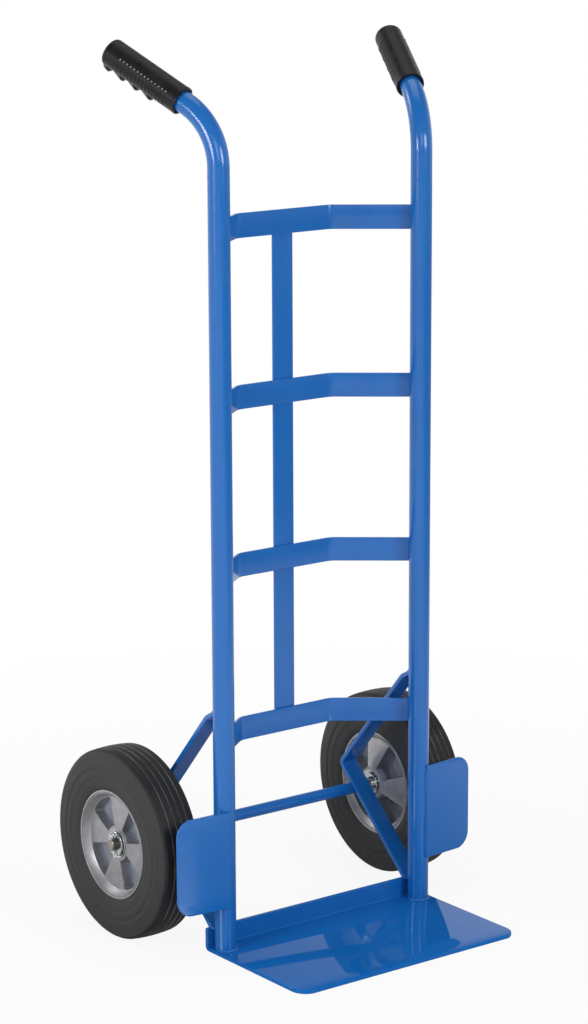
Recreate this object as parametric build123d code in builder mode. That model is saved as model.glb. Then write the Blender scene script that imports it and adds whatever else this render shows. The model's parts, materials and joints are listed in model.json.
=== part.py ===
"""Two-wheeled hand truck: welded tube frame, bent strap rungs, toe plate and two ball-bearing wheels.

Millimetres. +X is to the right of a person standing at the toe plate, +Y points back to the wheels and
handles, +Z is up. The floor is z = 0 and the origin is the middle of the footprint.
"""
import os
from math import cos, radians, sin, tan

from build123d import *

# Frame
UPRIGHT_SPACING = 320.4
TUBE_OD = 28.0
TUBE_WALL = 2.0
BEND_START_Z = 1013.5
HANDLE_BEND_R = 86.0
HANDLE_RAKE = 61.3
HANDLE_SPLAY = 22.5
HANDLE_STRAIGHT = 122.0

# Strap rungs and the strap that ties them
STRAP_H = 31.75
STRAP_T = 3.2
RUNG_Z = {"lower_rung": 265.8, "second_rung": 486.5, "third_rung": 707.1, "upper_rung": 927.4}
RUNG_SETBACK = 80.6
RUNG_FLAT = 149.6
RUNG_BEND_R = 7.0
RUNG_AIM_OUT = 7.0
RUNG_AIM_BACK = 9.0
TIE_END_INSET = 5.0

# Toe plate
TOE_WIDTH = 355.6
TOE_REACH = 187.0
TOE_T = 4.8
TOE_HEEL_H = 30.6
HEEL_GAP = 2.2
TOE_CORNER_R = 22.0
HEEL_CORNER_R = 3.0

# Wheels and axle
WHEEL_D = 254.0
WHEEL_X = 218.5
AXLE_BACK = 135.0
AXLE_D = 15.875
AXLE_END_X = 247.5
AXLE_CHAMFER = 1.2

# Wheel guards
GUARD_W = 79.5
GUARD_H = 129.0
GUARD_T = 3.0
GUARD_Z = 64.5
GUARD_TURN = 5.5
GUARD_CORNER_R = 22.0

# Axle brackets, one bent flat bar on each side
BAR_W = 25.4
BAR_T = 6.35
BAR_BEND_R = 6.5
LOWER_ARM = 43.0
UPPER_ARM = 48.8
AXLE_TO_APEX = 37.0
KNEE_BACK = 21.7
KNEE_RISE = 12.0
KNEE_R = 14.0

# Hand grips
GRIP_L = 120.0
GRIP_D = 36.4
GRIP_BEAD_D = 37.0
GRIP_BEAD_L = 5.0
GRIP_CAP_T = 5.0
GRIP_END_R = 5.0
GRIP_TURN = {"left": 20.0, "right": 0.0}
FINGER_COUNT = 4
FINGER_PITCH = 23.0
FINGER_FIRST = 9.0
FINGER_FALL = 3.5
FINGER_H = 7.8
FINGER_DROP = 12.0
FINGER_KEEL = 2.15
FINGER_SINK = 0.8
FINGER_ROUND = 2.5
FINGER_END_GAP = 1.0

# Wheel hub, measured outwards from the wheel's middle plane
BOSS_D = 46.0
BOSS_OUT = 17.5
BOSS_IN = 31.5
RIM_OUT = 27.2
RIM_IN = 26.4
RIM_LIP_R = 72.6
RIM_LIP_W = 3.0
RIM_SEAT_R = 67.0
RIM_SEAT_W = 23.5
RIM_GROOVE_W = 0.9
RIM_GROOVE_DEEP = 1.6
DISH_R = 62.0
SPOKE_IN = 20.0
WEB_T = 5.0
SPOKES = 4
SPOKE_PHASE = {"left": 8.0, "right": 1.0}
POCKET_ANGLE = 45.0
POCKET_LAND = 1.0
POCKET_CORNER_R = 3.5
POCKET_DRAFT = 4.0
BORE_R = 12.2

# Tyre
TYRE_W = 61.0
TREAD_W = 44.0
TREAD_CROWN = 1.2
GROOVES = 4
GROOVE_W = 1.2
GROOVE_DEEP = 1.2
GROOVE_PITCH = 9.6
BEAD_W = 26.0
BEAD_STEP = 1.2
BEAD_STEP_R = 88.0
SHOULDER_R = 114.5

# Flanged ball bearings
CUP_D = 34.9
CUP_L = 11.0
CUP_FLANGE_D = 38.6
CUP_FLANGE_T = 1.6
BALL_D = 6.0
BALL_PITCH_R = 12.45
BALLS = 8
RACE_PLAY = 0.15
LAND_GAP = 1.5
SLEEVE_BORE_PLAY = 0.05
SLEEVE_PROUD = 0.35

# Washers, spacers and split pins on the axle
WASHER_D = 33.0
WASHER_T = 2.4
SPACER_D = 22.0
PIN_X = 243.2
PIN_WIRE_D = 1.8
PIN_GAP = 0.1
PIN_HOLE_D = 4.2
PIN_EYE = 3.4
PIN_SPLAY = 5.0
PIN_LEG = 17.0
PIN_BEND_R = 1.4

UPRIGHT_X = UPRIGHT_SPACING / 2
WHEEL_R = WHEEL_D / 2
TUBE_R = TUBE_OD / 2
AXLE_R = AXLE_D / 2
UPRIGHT_Y = (TOE_REACH - AXLE_BACK - WHEEL_R) / 2
AXLE_Y = UPRIGHT_Y + AXLE_BACK
AXLE_Z = WHEEL_R
SIDES = {"left": -1, "right": 1}

# Plan view and side view of the frame, both with the uprights' axes at y = 0
PLAN = Plane((0, UPRIGHT_Y, 0))
PROFILE = Plane((0, UPRIGHT_Y, 0), x_dir=(0, 1, 0), z_dir=(1, 0, 0))

os.makedirs("parts", exist_ok=True)


def write(piece, name):
    """Label a finished piece and write it under its own name."""
    piece.label = name
    export_step(piece, f"parts/{name}.step")


def polar(length, angle):
    """Offset of the given length at an angle in degrees from the first axis."""
    return Vector(length * cos(radians(angle)), length * sin(radians(angle)))


def handle_plane(side):
    """Upright plane through one tube: first axis along the splayed handle, second axis up."""
    splay = radians(HANDLE_SPLAY)
    return Plane(
        (side * UPRIGHT_X, UPRIGHT_Y, 0),
        x_dir=(side * sin(splay), cos(splay), 0),
        z_dir=(cos(splay), -side * sin(splay), 0),
    )


def wheel_plane(side):
    """Plane through the axle: first axis outwards from the wheel's middle, second axis the radius."""
    return Plane((side * WHEEL_X, AXLE_Y, AXLE_Z), x_dir=(side, 0, 0), z_dir=(0, -side, 0))


def axle_axis(side):
    return Axis((side * WHEEL_X, AXLE_Y, AXLE_Z), (side, 0, 0))


def tube_bore(side, bottom, height):
    """Cylinder on an upright's axis, for coping the pieces that are welded to the tube."""
    with BuildPart() as cylinder:
        with BuildSketch(Plane((side * UPRIGHT_X, UPRIGHT_Y, bottom))):
            Circle(TUBE_R)
        extrude(amount=height)
    return cylinder.part


# Handle line: up the tube, round the bend and out along the grip
bend_leg = HANDLE_BEND_R * tan(radians(HANDLE_RAKE) / 2)
bend_corner = Vector(0, BEND_START_Z + bend_leg)
tube_end = bend_corner + polar(bend_leg + HANDLE_STRAIGHT, 90 - HANDLE_RAKE)
grip_start = tube_end - polar(GRIP_L - GRIP_CAP_T, 90 - HANDLE_RAKE)

# Uprights: one bent tube each, standing on the toe plate
for side_name, side in SIDES.items():
    with BuildPart() as upright:
        with BuildLine(handle_plane(side)):
            FilletPolyline((0, TOE_T), tuple(bend_corner), tuple(tube_end), radius=HANDLE_BEND_R)
        with BuildSketch(Plane((side * UPRIGHT_X, UPRIGHT_Y, TOE_T))):
            Circle(TUBE_R)
            Circle(TUBE_R - TUBE_WALL, mode=Mode.SUBTRACT)
        sweep()
    write(upright.part, f"{side_name}_upright")

# Hand grips: closed sleeves with finger ridges on a low keel underneath, which rise gently towards the
# mouth and then fall steeply; the left grip sits turned on its tube
for side_name, side in SIDES.items():
    grip_axis = handle_plane(side).location * Location(grip_start, (0, 0, 90 - HANDLE_RAKE))
    grip_plane = Plane(grip_axis * Location((0, 0, 0), (-GRIP_TURN[side_name], 0, 0)))
    finger_plane = Plane(grip_plane.location * Location((0, -FINGER_DROP, 0)))
    valley_r = GRIP_D / 2 - FINGER_DROP + FINGER_KEEL
    crest_r = GRIP_D / 2 - FINGER_DROP + FINGER_H
    sunk_r = GRIP_D / 2 - FINGER_DROP - FINGER_SINK
    crests = [GRIP_L - FINGER_FIRST - FINGER_PITCH * i for i in range(FINGER_COUNT)]
    ridge_far = GRIP_L - FINGER_END_GAP
    rise = (crest_r - valley_r) / (FINGER_PITCH - FINGER_FALL)
    far_r = crest_r - rise * (ridge_far - crests[0])
    near_end = crests[-1] - FINGER_FALL * (crest_r - sunk_r) / (crest_r - valley_r)
    with BuildPart() as grip:
        with BuildSketch(grip_plane):
            with Locations((GRIP_L / 2, GRIP_D / 4)):
                Rectangle(GRIP_L, GRIP_D / 2)
            with Locations((GRIP_BEAD_L / 2, GRIP_BEAD_D / 4)):
                Rectangle(GRIP_BEAD_L, GRIP_BEAD_D / 2)
        revolve(axis=Axis(grip_plane.origin, grip_plane.x_dir))
        far_rim = grip.edges().sort_by(Axis(grip_plane.origin, grip_plane.x_dir))[-1]
        fillet(far_rim, GRIP_END_R)
        with BuildSketch(finger_plane) as ridges:
            with BuildLine():
                teeth = []
                for crest in crests:
                    teeth += [(crest, crest_r), (crest - FINGER_FALL, valley_r)]
                teeth[-1] = (near_end, sunk_r)
                Polyline((ridge_far, 0), (ridge_far, far_r), *teeth, (near_end, 0), close=True)
            make_face()
            fillet(ridges.vertices().filter_by(lambda corner: corner.Y > valley_r + 1), FINGER_ROUND)
        revolve(axis=Axis(finger_plane.origin, finger_plane.x_dir))
        with BuildSketch(Plane(grip_plane.origin, z_dir=grip_plane.x_dir)):
            Circle(TUBE_R)
        extrude(amount=GRIP_L - GRIP_CAP_T, mode=Mode.SUBTRACT)
    write(grip.part, f"{side_name}_grip")

# Rungs: straps bowed back to cradle a round load, coped to the backs of the tubes
for rung_name, rung_z in RUNG_Z.items():
    strap_y = RUNG_SETBACK + STRAP_T / 2
    with BuildPart() as rung:
        with BuildSketch(PLAN.offset(rung_z - STRAP_H / 2)):
            with BuildLine():
                FilletPolyline(
                    (-UPRIGHT_X - RUNG_AIM_OUT, RUNG_AIM_BACK),
                    (-RUNG_FLAT / 2, strap_y),
                    (RUNG_FLAT / 2, strap_y),
                    (UPRIGHT_X + RUNG_AIM_OUT, RUNG_AIM_BACK),
                    radius=RUNG_BEND_R,
                )
            trace(line_width=STRAP_T)
        extrude(amount=STRAP_H)
        for side in SIDES.values():
            add(tube_bore(side, rung_z - STRAP_H, 2 * STRAP_H), mode=Mode.SUBTRACT)
    write(rung.part, rung_name)

# Centre strap: ties the backs of the rungs together
tie_bottom = RUNG_Z["lower_rung"] - STRAP_H / 2 + TIE_END_INSET
tie_top = RUNG_Z["upper_rung"] + STRAP_H / 2 - TIE_END_INSET
with BuildPart() as centre_strap:
    with BuildSketch(PLAN.offset(tie_bottom)):
        with Locations((0, RUNG_SETBACK + STRAP_T * 3 / 2)):
            Rectangle(STRAP_H, STRAP_T)
    extrude(amount=tie_top - tie_bottom)
write(centre_strap.part, "centre_strap")

# Toe plate: folded up at the heel, where the tubes stand against the fold
with BuildPart() as toe_plate:
    with BuildSketch(PROFILE):
        with BuildLine():
            heel_y = TUBE_R + HEEL_GAP + TOE_T / 2
            fold_r = HEEL_GAP + TOE_T / 2
            FilletPolyline(
                (-TOE_REACH, TOE_T / 2), (heel_y, TOE_T / 2), (heel_y, TOE_HEEL_H), radius=fold_r
            )
        trace(line_width=TOE_T)
    extrude(amount=TOE_WIDTH / 2, both=True)
    fillet(toe_plate.edges().filter_by(Axis.Z).group_by(Axis.Y)[0], TOE_CORNER_R)
    fillet(toe_plate.edges().filter_by(Axis.Y).group_by(Axis.Z)[-1], HEEL_CORNER_R)
write(toe_plate.part, "toe_plate")

# Wheel guards: plates on the fronts of the tubes that keep the load off the tyres
for side_name, side in SIDES.items():
    turn = radians(GUARD_TURN)
    front = Vector(side * sin(turn), -cos(turn), 0)
    guard_plane = Plane(
        Vector(side * UPRIGHT_X, UPRIGHT_Y, GUARD_Z) + front * TUBE_R,
        x_dir=(side * cos(turn), sin(turn), 0),
        z_dir=front,
    )
    with BuildPart() as guard:
        with BuildSketch(guard_plane) as outline:
            with Locations((GUARD_W / 2, side * GUARD_H / 2)):
                Rectangle(GUARD_W, GUARD_H)
            fillet(outline.vertices().group_by(Axis.X)[-1], GUARD_CORNER_R)
        extrude(amount=GUARD_T)
    write(guard.part, f"{side_name}_wheel_guard")

# Axle brackets: a bar bent to a V whose lower arm lies on the axle and stands on the toe plate's heel
arm_on_axle = Vector(AXLE_BACK, AXLE_Z) + polar(AXLE_R + BAR_T / 2, LOWER_ARM + 90)
apex = arm_on_axle + polar(AXLE_TO_APEX, LOWER_ARM)
foot = apex - polar((apex.Y - TOE_HEEL_H) / sin(radians(LOWER_ARM)) + BAR_T, LOWER_ARM)
knee = Vector(KNEE_BACK, apex.Y + (apex.X - KNEE_BACK) * tan(radians(UPPER_ARM)))
for side_name, side in SIDES.items():
    with BuildPart() as bracket:
        with BuildSketch(PROFILE.offset(side * UPRIGHT_X)):
            with BuildLine():
                FilletPolyline(foot, apex, knee, (0, knee.Y + KNEE_RISE), radius=[BAR_BEND_R, KNEE_R])
            trace(line_width=BAR_T)
        extrude(amount=BAR_W / 2, both=True)
        split(bisect_by=Plane.XY.offset(TOE_HEEL_H), keep=Keep.TOP)
        add(tube_bore(side, 0, BEND_START_Z), mode=Mode.SUBTRACT)
    write(bracket.part, f"{side_name}_axle_bracket")

# Axle: a plain rod with a split-pin hole near each end
with BuildPart() as axle:
    with BuildSketch(Plane((0, AXLE_Y, AXLE_Z), z_dir=(1, 0, 0))):
        Circle(AXLE_R)
    extrude(amount=AXLE_END_X, both=True)
    chamfer(axle.edges().filter_by(GeomType.CIRCLE), AXLE_CHAMFER)
    with BuildSketch(Plane((0, AXLE_Y, AXLE_Z))):
        with Locations((-PIN_X, 0), (PIN_X, 0)):
            Circle(PIN_HOLE_D / 2)
    extrude(amount=AXLE_D, both=True, mode=Mode.SUBTRACT)
write(axle.part, "axle")

# Wheel hubs: cast barrel, web and boss with four broad spokes on each face
for side_name, side in SIDES.items():
    cup_seat_r = CUP_D / 2
    with BuildPart() as hub:
        with BuildSketch(wheel_plane(side)):
            with BuildLine():
                Polyline(
                    (BOSS_OUT, cup_seat_r),
                    (BOSS_OUT, DISH_R),
                    (RIM_OUT - RIM_GROOVE_DEEP / 2, RIM_LIP_R - RIM_LIP_W - 2 * RIM_GROOVE_W),
                    (RIM_OUT - RIM_GROOVE_DEEP, RIM_LIP_R - RIM_LIP_W - RIM_GROOVE_W),
                    (RIM_OUT - RIM_GROOVE_DEEP, RIM_LIP_R - RIM_LIP_W),
                    (RIM_OUT, RIM_LIP_R - RIM_LIP_W),
                    (RIM_OUT, RIM_LIP_R),
                    (RIM_SEAT_W, RIM_LIP_R),
                    (RIM_SEAT_W, RIM_SEAT_R),
                    (-RIM_SEAT_W, RIM_SEAT_R),
                    (-RIM_SEAT_W, RIM_LIP_R),
                    (-RIM_IN, RIM_LIP_R),
                    (-RIM_IN, RIM_LIP_R - RIM_LIP_W),
                    (RIM_GROOVE_DEEP - RIM_IN, RIM_LIP_R - RIM_LIP_W),
                    (RIM_GROOVE_DEEP - RIM_IN, RIM_LIP_R - RIM_LIP_W - RIM_GROOVE_W),
                    (-SPOKE_IN, DISH_R),
                    (-BOSS_IN, BOSS_D / 2),
                    (-BOSS_IN, cup_seat_r),
                    (CUP_L - BOSS_IN, cup_seat_r),
                    (CUP_L - BOSS_IN, BORE_R),
                    (BOSS_OUT - CUP_L, BORE_R),
                    (BOSS_OUT - CUP_L, cup_seat_r),
                    close=True,
                )
            make_face()
        revolve(axis=axle_axis(side))
        for facing in (1, -1):
            for i in range(SPOKES):
                angle = radians(SPOKE_PHASE[side_name] + (i + 0.5) * 360 / SPOKES)
                pocket_plane = Plane(
                    (side * (WHEEL_X + facing * WEB_T / 2), AXLE_Y, AXLE_Z),
                    x_dir=(0, cos(angle), sin(angle)),
                    z_dir=(side * facing, 0, 0),
                )
                with BuildSketch(pocket_plane) as pocket:
                    with BuildLine():
                        near = CenterArc((0, 0), BOSS_D / 2 + POCKET_LAND, -POCKET_ANGLE / 2, POCKET_ANGLE)
                        far = CenterArc((0, 0), DISH_R - POCKET_LAND, -POCKET_ANGLE / 2, POCKET_ANGLE)
                        Line(near @ 0, far @ 0)
                        Line(near @ 1, far @ 1)
                    make_face()
                    fillet(pocket.vertices().group_by(Axis.X)[-1], POCKET_CORNER_R)
                extrude(amount=BOSS_IN, taper=-POCKET_DRAFT, mode=Mode.SUBTRACT)
    write(hub.part, f"{side_name}_hub")

# Tyres: solid rubber with a crowned, grooved tread and a stepped sidewall
for side_name, side in SIDES.items():
    tread_edge = (TREAD_W / 2, WHEEL_R - TREAD_CROWN)
    with BuildPart() as tyre:
        with BuildSketch(wheel_plane(side)):
            with BuildLine():
                Polyline(
                    (0, RIM_SEAT_R),
                    (RIM_SEAT_W, RIM_SEAT_R),
                    (RIM_SEAT_W, RIM_LIP_R),
                    (BEAD_W, RIM_LIP_R),
                    (TYRE_W / 2 - BEAD_STEP, BEAD_STEP_R - BEAD_STEP),
                    (TYRE_W / 2, BEAD_STEP_R + BEAD_STEP),
                    (TYRE_W / 2, SHOULDER_R),
                )
                TangentArc((TYRE_W / 2, SHOULDER_R), tread_edge, tangent=(0, 1))
                ThreePointArc(tread_edge, (TREAD_W / 4, WHEEL_R - TREAD_CROWN / 4), (0, WHEEL_R))
                mirror(about=Plane.YZ)
            make_face()
            for i in range(GROOVES):
                with Locations(((i - (GROOVES - 1) / 2) * GROOVE_PITCH, WHEEL_R)):
                    Rectangle(GROOVE_W, 2 * (GROOVE_DEEP + TREAD_CROWN), mode=Mode.SUBTRACT)
        revolve(axis=axle_axis(side))
    write(tyre.part, f"{side_name}_tyre")

# Bearings: a flanged cup pressed into each end of the hub, a sleeve on the axle and a ring of balls
race_r = BALL_D / 2 + RACE_PLAY
for side_name, side in SIDES.items():
    for end_name, face, facing in (("outer", BOSS_OUT, 1), ("inner", -BOSS_IN, -1)):
        bearing_plane = Plane(
            (side * (WHEEL_X + face), AXLE_Y, AXLE_Z),
            x_dir=(-side * facing, 0, 0),
            z_dir=(0, side * facing, 0),
        )
        bearing_axis = Axis(bearing_plane.origin, bearing_plane.x_dir)
        with BuildPart() as cup:
            with BuildSketch(bearing_plane):
                with BuildLine():
                    Polyline(
                        (-CUP_FLANGE_T, BALL_PITCH_R + LAND_GAP),
                        (-CUP_FLANGE_T, CUP_FLANGE_D / 2),
                        (0, CUP_FLANGE_D / 2),
                        (0, CUP_D / 2),
                        (CUP_L, CUP_D / 2),
                        (CUP_L, BALL_PITCH_R + LAND_GAP),
                        close=True,
                    )
                make_face()
                with Locations((CUP_L / 2, BALL_PITCH_R)):
                    Circle(race_r, mode=Mode.SUBTRACT)
            revolve(axis=bearing_axis)
        write(cup.part, f"{side_name}_{end_name}_bearing_cup")
        with BuildPart() as sleeve:
            with BuildSketch(bearing_plane):
                sleeve_r = AXLE_R + SLEEVE_BORE_PLAY
                land_r = BALL_PITCH_R - LAND_GAP
                sleeve_l = CUP_L + CUP_FLANGE_T + SLEEVE_PROUD
                with Locations((CUP_L - sleeve_l / 2, (sleeve_r + land_r) / 2)):
                    Rectangle(sleeve_l, land_r - sleeve_r)
                with Locations((CUP_L / 2, BALL_PITCH_R)):
                    Circle(race_r, mode=Mode.SUBTRACT)
            revolve(axis=bearing_axis)
        write(sleeve.part, f"{side_name}_{end_name}_bearing_sleeve")
        ball_x = side * (WHEEL_X + face - facing * CUP_L / 2)
        with BuildPart() as balls:
            with Locations(Plane((ball_x, AXLE_Y, AXLE_Z), z_dir=(side, 0, 0))):
                with PolarLocations(BALL_PITCH_R, BALLS):
                    Sphere(BALL_D / 2)
        write(balls.part, f"{side_name}_{end_name}_bearing_balls")

# Axle hardware: washers against the bearings, a spacer from bracket to wheel and a split pin
sleeve_outer = WHEEL_X + BOSS_OUT + CUP_FLANGE_T + SLEEVE_PROUD
sleeve_inner = WHEEL_X - BOSS_IN - CUP_FLANGE_T - SLEEVE_PROUD
spacer_start = UPRIGHT_X + BAR_W / 2
rings = {
    "outer_washer": (sleeve_outer, sleeve_outer + WASHER_T, WASHER_D),
    "inner_washer": (sleeve_inner - WASHER_T, sleeve_inner, WASHER_D),
    "axle_spacer": (spacer_start, sleeve_inner - WASHER_T, SPACER_D),
}
for side_name, side in SIDES.items():
    for ring_name, (start, stop, diameter) in rings.items():
        with BuildPart() as ring:
            with BuildSketch(Plane((side * start, AXLE_Y, AXLE_Z), z_dir=(side, 0, 0))):
                Circle(diameter / 2)
                Circle(AXLE_R + SLEEVE_BORE_PLAY, mode=Mode.SUBTRACT)
            extrude(amount=stop - start)
        write(ring.part, f"{side_name}_{ring_name}")
    leg = (PIN_WIRE_D + PIN_GAP) / 2
    pin_plane = Plane((side * PIN_X, AXLE_Y, AXLE_Z), x_dir=(0, 1, 0), z_dir=(1, 0, 0))
    with BuildPart() as split_pin:
        with BuildLine(pin_plane):
            FilletPolyline(
                (-PIN_SPLAY, -PIN_LEG),
                (-leg, -AXLE_R - PIN_WIRE_D),
                (-leg, AXLE_R + PIN_WIRE_D / 2),
                (-PIN_EYE, AXLE_R + PIN_EYE + PIN_WIRE_D),
                (0, AXLE_R + 2 * PIN_EYE + PIN_WIRE_D),
                (PIN_EYE, AXLE_R + PIN_EYE + PIN_WIRE_D),
                (leg, AXLE_R + PIN_WIRE_D / 2),
                (leg, -AXLE_R - PIN_WIRE_D),
                (PIN_SPLAY, -PIN_LEG + PIN_WIRE_D),
                radius=PIN_BEND_R,
            )
        wire = split_pin.pending_edges_as_wire
        with BuildSketch(Plane(wire @ 0, z_dir=wire % 0)):
            Circle(PIN_WIRE_D / 2)
        sweep()
    write(split_pin.part, f"{side_name}_split_pin")
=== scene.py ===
"""Hand truck: the fine shape and finish of every piece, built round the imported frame.

Metres. +X points right, +Y back towards the wheels and handles, +Z up, and the floor is z = 0.
"""
import json
import random
from math import ceil, cos, hypot, pi, radians, sin, sqrt, tan

import bmesh
import bpy
from bpy.props import FloatProperty, FloatVectorProperty, IntProperty, PointerProperty
from bpy.types import Operator, Panel, PropertyGroup
from mathutils import Matrix, Vector, noise


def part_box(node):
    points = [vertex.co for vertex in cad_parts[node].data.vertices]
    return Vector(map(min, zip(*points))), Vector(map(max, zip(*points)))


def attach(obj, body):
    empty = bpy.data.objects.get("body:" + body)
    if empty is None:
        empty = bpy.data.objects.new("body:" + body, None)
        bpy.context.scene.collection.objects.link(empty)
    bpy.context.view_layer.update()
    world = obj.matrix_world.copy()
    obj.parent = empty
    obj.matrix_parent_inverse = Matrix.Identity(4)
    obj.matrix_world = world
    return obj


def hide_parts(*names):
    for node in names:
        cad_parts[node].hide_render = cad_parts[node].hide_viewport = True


bl_info = {
    "name": "Hand truck",
    "version": (1, 0, 0),
    "blender": (4, 5, 0),
    "location": "3D View > Sidebar > Hand truck",
    "description": "Builds the pieces of a two-wheeled hand truck on its packed frame",
    "category": "Add Mesh",
}

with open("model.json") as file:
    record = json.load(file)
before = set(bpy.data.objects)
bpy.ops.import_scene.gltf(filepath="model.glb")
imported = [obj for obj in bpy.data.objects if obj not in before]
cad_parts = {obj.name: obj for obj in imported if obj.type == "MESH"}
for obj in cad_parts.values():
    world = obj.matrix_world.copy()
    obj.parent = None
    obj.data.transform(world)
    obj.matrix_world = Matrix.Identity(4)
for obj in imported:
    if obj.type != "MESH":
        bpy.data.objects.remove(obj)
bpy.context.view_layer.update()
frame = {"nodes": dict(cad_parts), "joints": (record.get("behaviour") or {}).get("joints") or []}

MM = 0.001
SIDES = {"left": -1, "right": 1}
RUNGS = ("lower_rung", "second_rung", "third_rung", "upper_rung")
QUARTER = pi / 2
ARC_STEP = radians(1.25)
ROUND_STEPS = 5
TUBE_SIDES, GRIP_SIDES, TYRE_SIDES = 128, 128, 160
AXLE_SIDES, RING_SIDES, CUP_SIDES = 64, 72, 88
FLOOR_SIDES, FLOOR_RADIUS = 96, 9.0
GRIP_STEPS, RIB_STEPS, NUB_STEPS, SHOULDER_STEPS = 240, 22, 5, 12
PIN_SIDES, RIB_SIDES, NUB_SIDES, BEAD_SIDES = 14, 10, 14, 12
RIGHT = Vector((1, 0, 0))
UP = Vector((0, 0, 1))
BACKDROP_SIDE = (0.6, 0.8, 0.0)
DIM_SIDE = (0.87, -0.5, 0.0)
CREST_ROUNDING = 0.51
RAW_DEPTH = 0.65
BEAD_STEP = 0.45 * MM
DOME_END = 0.96 * QUARTER


# Places read from the frame

def middle(node):
    """Centre of a CAD node's box."""
    low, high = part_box(node)
    return (low + high) / 2


def extent(node):
    """Size of a CAD node's box."""
    low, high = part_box(node)
    return high - low


AXLE = Vector(frame["joints"][0]["pos_m"])
WHEEL_X = abs(AXLE.x)
WHEEL_R = AXLE.z
UPRIGHT_X = middle("right_axle_bracket").x
BAR_W = extent("right_axle_bracket").x
STRAP_H = extent("lower_rung").z
TOE_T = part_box("right_upright")[0].z
TOE_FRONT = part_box("toe_plate")[0].y
TOE_W = extent("toe_plate").x
HEEL_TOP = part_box("toe_plate")[1].z
AXLE_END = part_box("axle")[1].x


# Settings that a user would change

def setting(kind, name, description, default, **options):
    return kind(name=name, description=description, default=default, **options)


def length(name, description, millimetres):
    return setting(FloatProperty, name, description, millimetres * MM, unit="LENGTH", precision=4)


def turn(name, description, degrees):
    return setting(FloatProperty, name, description, radians(degrees), subtype="ANGLE")


def share(name, description, value):
    return setting(FloatProperty, name, description, value, min=0, max=1, subtype="FACTOR")


def colour(name, description, value):
    return setting(FloatVectorProperty, name, description, value, size=3, subtype="COLOR")


def power(name, description, watts):
    return setting(FloatProperty, name, description, watts, unit="POWER")


class TubeSizes(PropertyGroup):
    """The two bent tubes."""
    radius: length("Radius", "Outer radius of the tube", 14)
    axle_back: length("Axle back", "From the uprights' axes back to the axle", 135)
    bend_start: length("Bend start", "Height at which the handle bend begins", 1013.5)
    bend_radius: length("Bend radius", "Radius of the handle bend on the tube's axis", 86)
    rake: turn("Rake", "How far the handle leans back from upright", 61.3)
    splay: turn("Splay", "How far the handle turns outwards in plan", 22.5)
    straight: length("Handle length", "Straight tube after the bend", 122)


class StrapSizes(PropertyGroup):
    """The four bowed rungs and the strap that ties them."""
    thickness: length("Thickness", "Strap thickness", 3.2)
    edge: length("Edge", "Rounding along the strap's rolled edges", 0.7)
    bend_radius: length("Bend radius", "Radius at the two bends of a rung", 22)
    setback: length("Setback", "From the uprights' axes to the front of the bow", 80.6)
    flat: length("Flat", "Width of the flat middle of the bow", 149.6)
    aim_out: length("Aim out", "Where a rung's arm would end, outside the tube's axis", 7)
    aim_back: length("Aim back", "Where a rung's arm would end, behind the tube's axis", 9)


class PlateSizes(PropertyGroup):
    """The folded toe plate and the wheel guards."""
    edge: length("Edge", "Rounding of the sheared edges", 1.1)
    toe_corner: length("Toe corner", "Radius of the toe plate's front corners", 22)
    heel_corner: length("Heel corner", "Radius of the heel's upper corners", 3)
    heel_gap: length("Heel gap", "Room between a tube and the heel", 2.2)
    guard_thickness: length("Guard thickness", "Thickness of a wheel guard", 3)
    guard_width: length("Guard width", "Width of a wheel guard", 79.5)
    guard_turn: turn("Guard turn", "How far a guard is turned back from the frame's plane", 5.5)
    guard_corner: length("Guard corner", "Radius of a guard's outer corners", 22)


class BracketSizes(PropertyGroup):
    """The bent bars that carry the axle."""
    thickness: length("Thickness", "Bar thickness", 6.35)
    edge: length("Edge", "Rounding along the bar's rolled edges", 1.1)
    bend_radius: length("Bend radius", "Radius of the bend behind the axle", 6.5)
    lower_arm: turn("Lower arm", "Slope of the arm that stands on the heel", 43)
    upper_arm: turn("Upper arm", "Slope of the arm that runs up to the tube", 48.8)
    apex: length("Apex", "From the axle's contact up the lower arm to the bend", 37)
    knee_back: length("Knee back", "Knee's distance behind the uprights' axes", 21.7)
    knee_rise: length("Knee rise", "Rise from the knee to the tube's axis", 12)
    knee_radius: length("Knee radius", "Radius at the knee", 14)


class GripSizes(PropertyGroup):
    """The moulded hand grips."""
    length: length("Length", "Length of the sleeve", 120)
    radius: length("Radius", "Radius of the sleeve", 18.2)
    bead_radius: length("Bead radius", "Radius of the thick ring at the mouth", 18.5)
    bead_length: length("Bead length", "Length of the ring at the mouth", 5)
    cap: length("Cap", "Thickness of the closed end", 5)
    end_round: length("End rounding", "Rounding of the closed end", 5)
    left_turn: turn("Left turn", "How far the left grip is turned on its tube", 20)
    fingers: setting(IntProperty, "Fingers", "Number of finger ridges", 4)
    finger_pitch: length("Finger pitch", "Distance between finger ridges", 23)
    finger_first: length("First ridge", "First ridge's distance from the closed end", 9)
    finger_fall: length("Finger fall", "Length of a ridge's steep side", 3.5)
    finger_height: length("Finger height", "Height of a finger ridge", 7.8)
    finger_drop: length("Finger drop", "How far the ridges' own axis lies below the sleeve's", 12)
    finger_keel: length("Finger keel", "Height of the keel between ridges", 2.15)
    finger_sink: length("Finger sink", "How far the keel's end dips into the sleeve", 0.8)
    finger_round: length("Finger rounding", "Rounding of a ridge", 2.5)
    finger_end: length("Finger end", "From the last ridge's end face to the closed end", 1)
    ribs: setting(IntProperty, "Ribs", "Fine ribs round each flank", 14)
    rib_first: length("First rib", "First rib's distance from the mouth", 17.5)
    rib_pitch: length("Rib pitch", "Distance between ribs", 5.77)
    rib_radius: length("Rib radius", "Radius of a rib's rounded back", 0.55)
    rib_above: turn("Rib above", "How far a rib runs above the flank", 36)
    rib_below: turn("Rib below", "How far a rib runs below the flank", 35)
    nub_radius: length("Nub radius", "Radius of the nub at a rib's upper end", 1.15)


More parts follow.
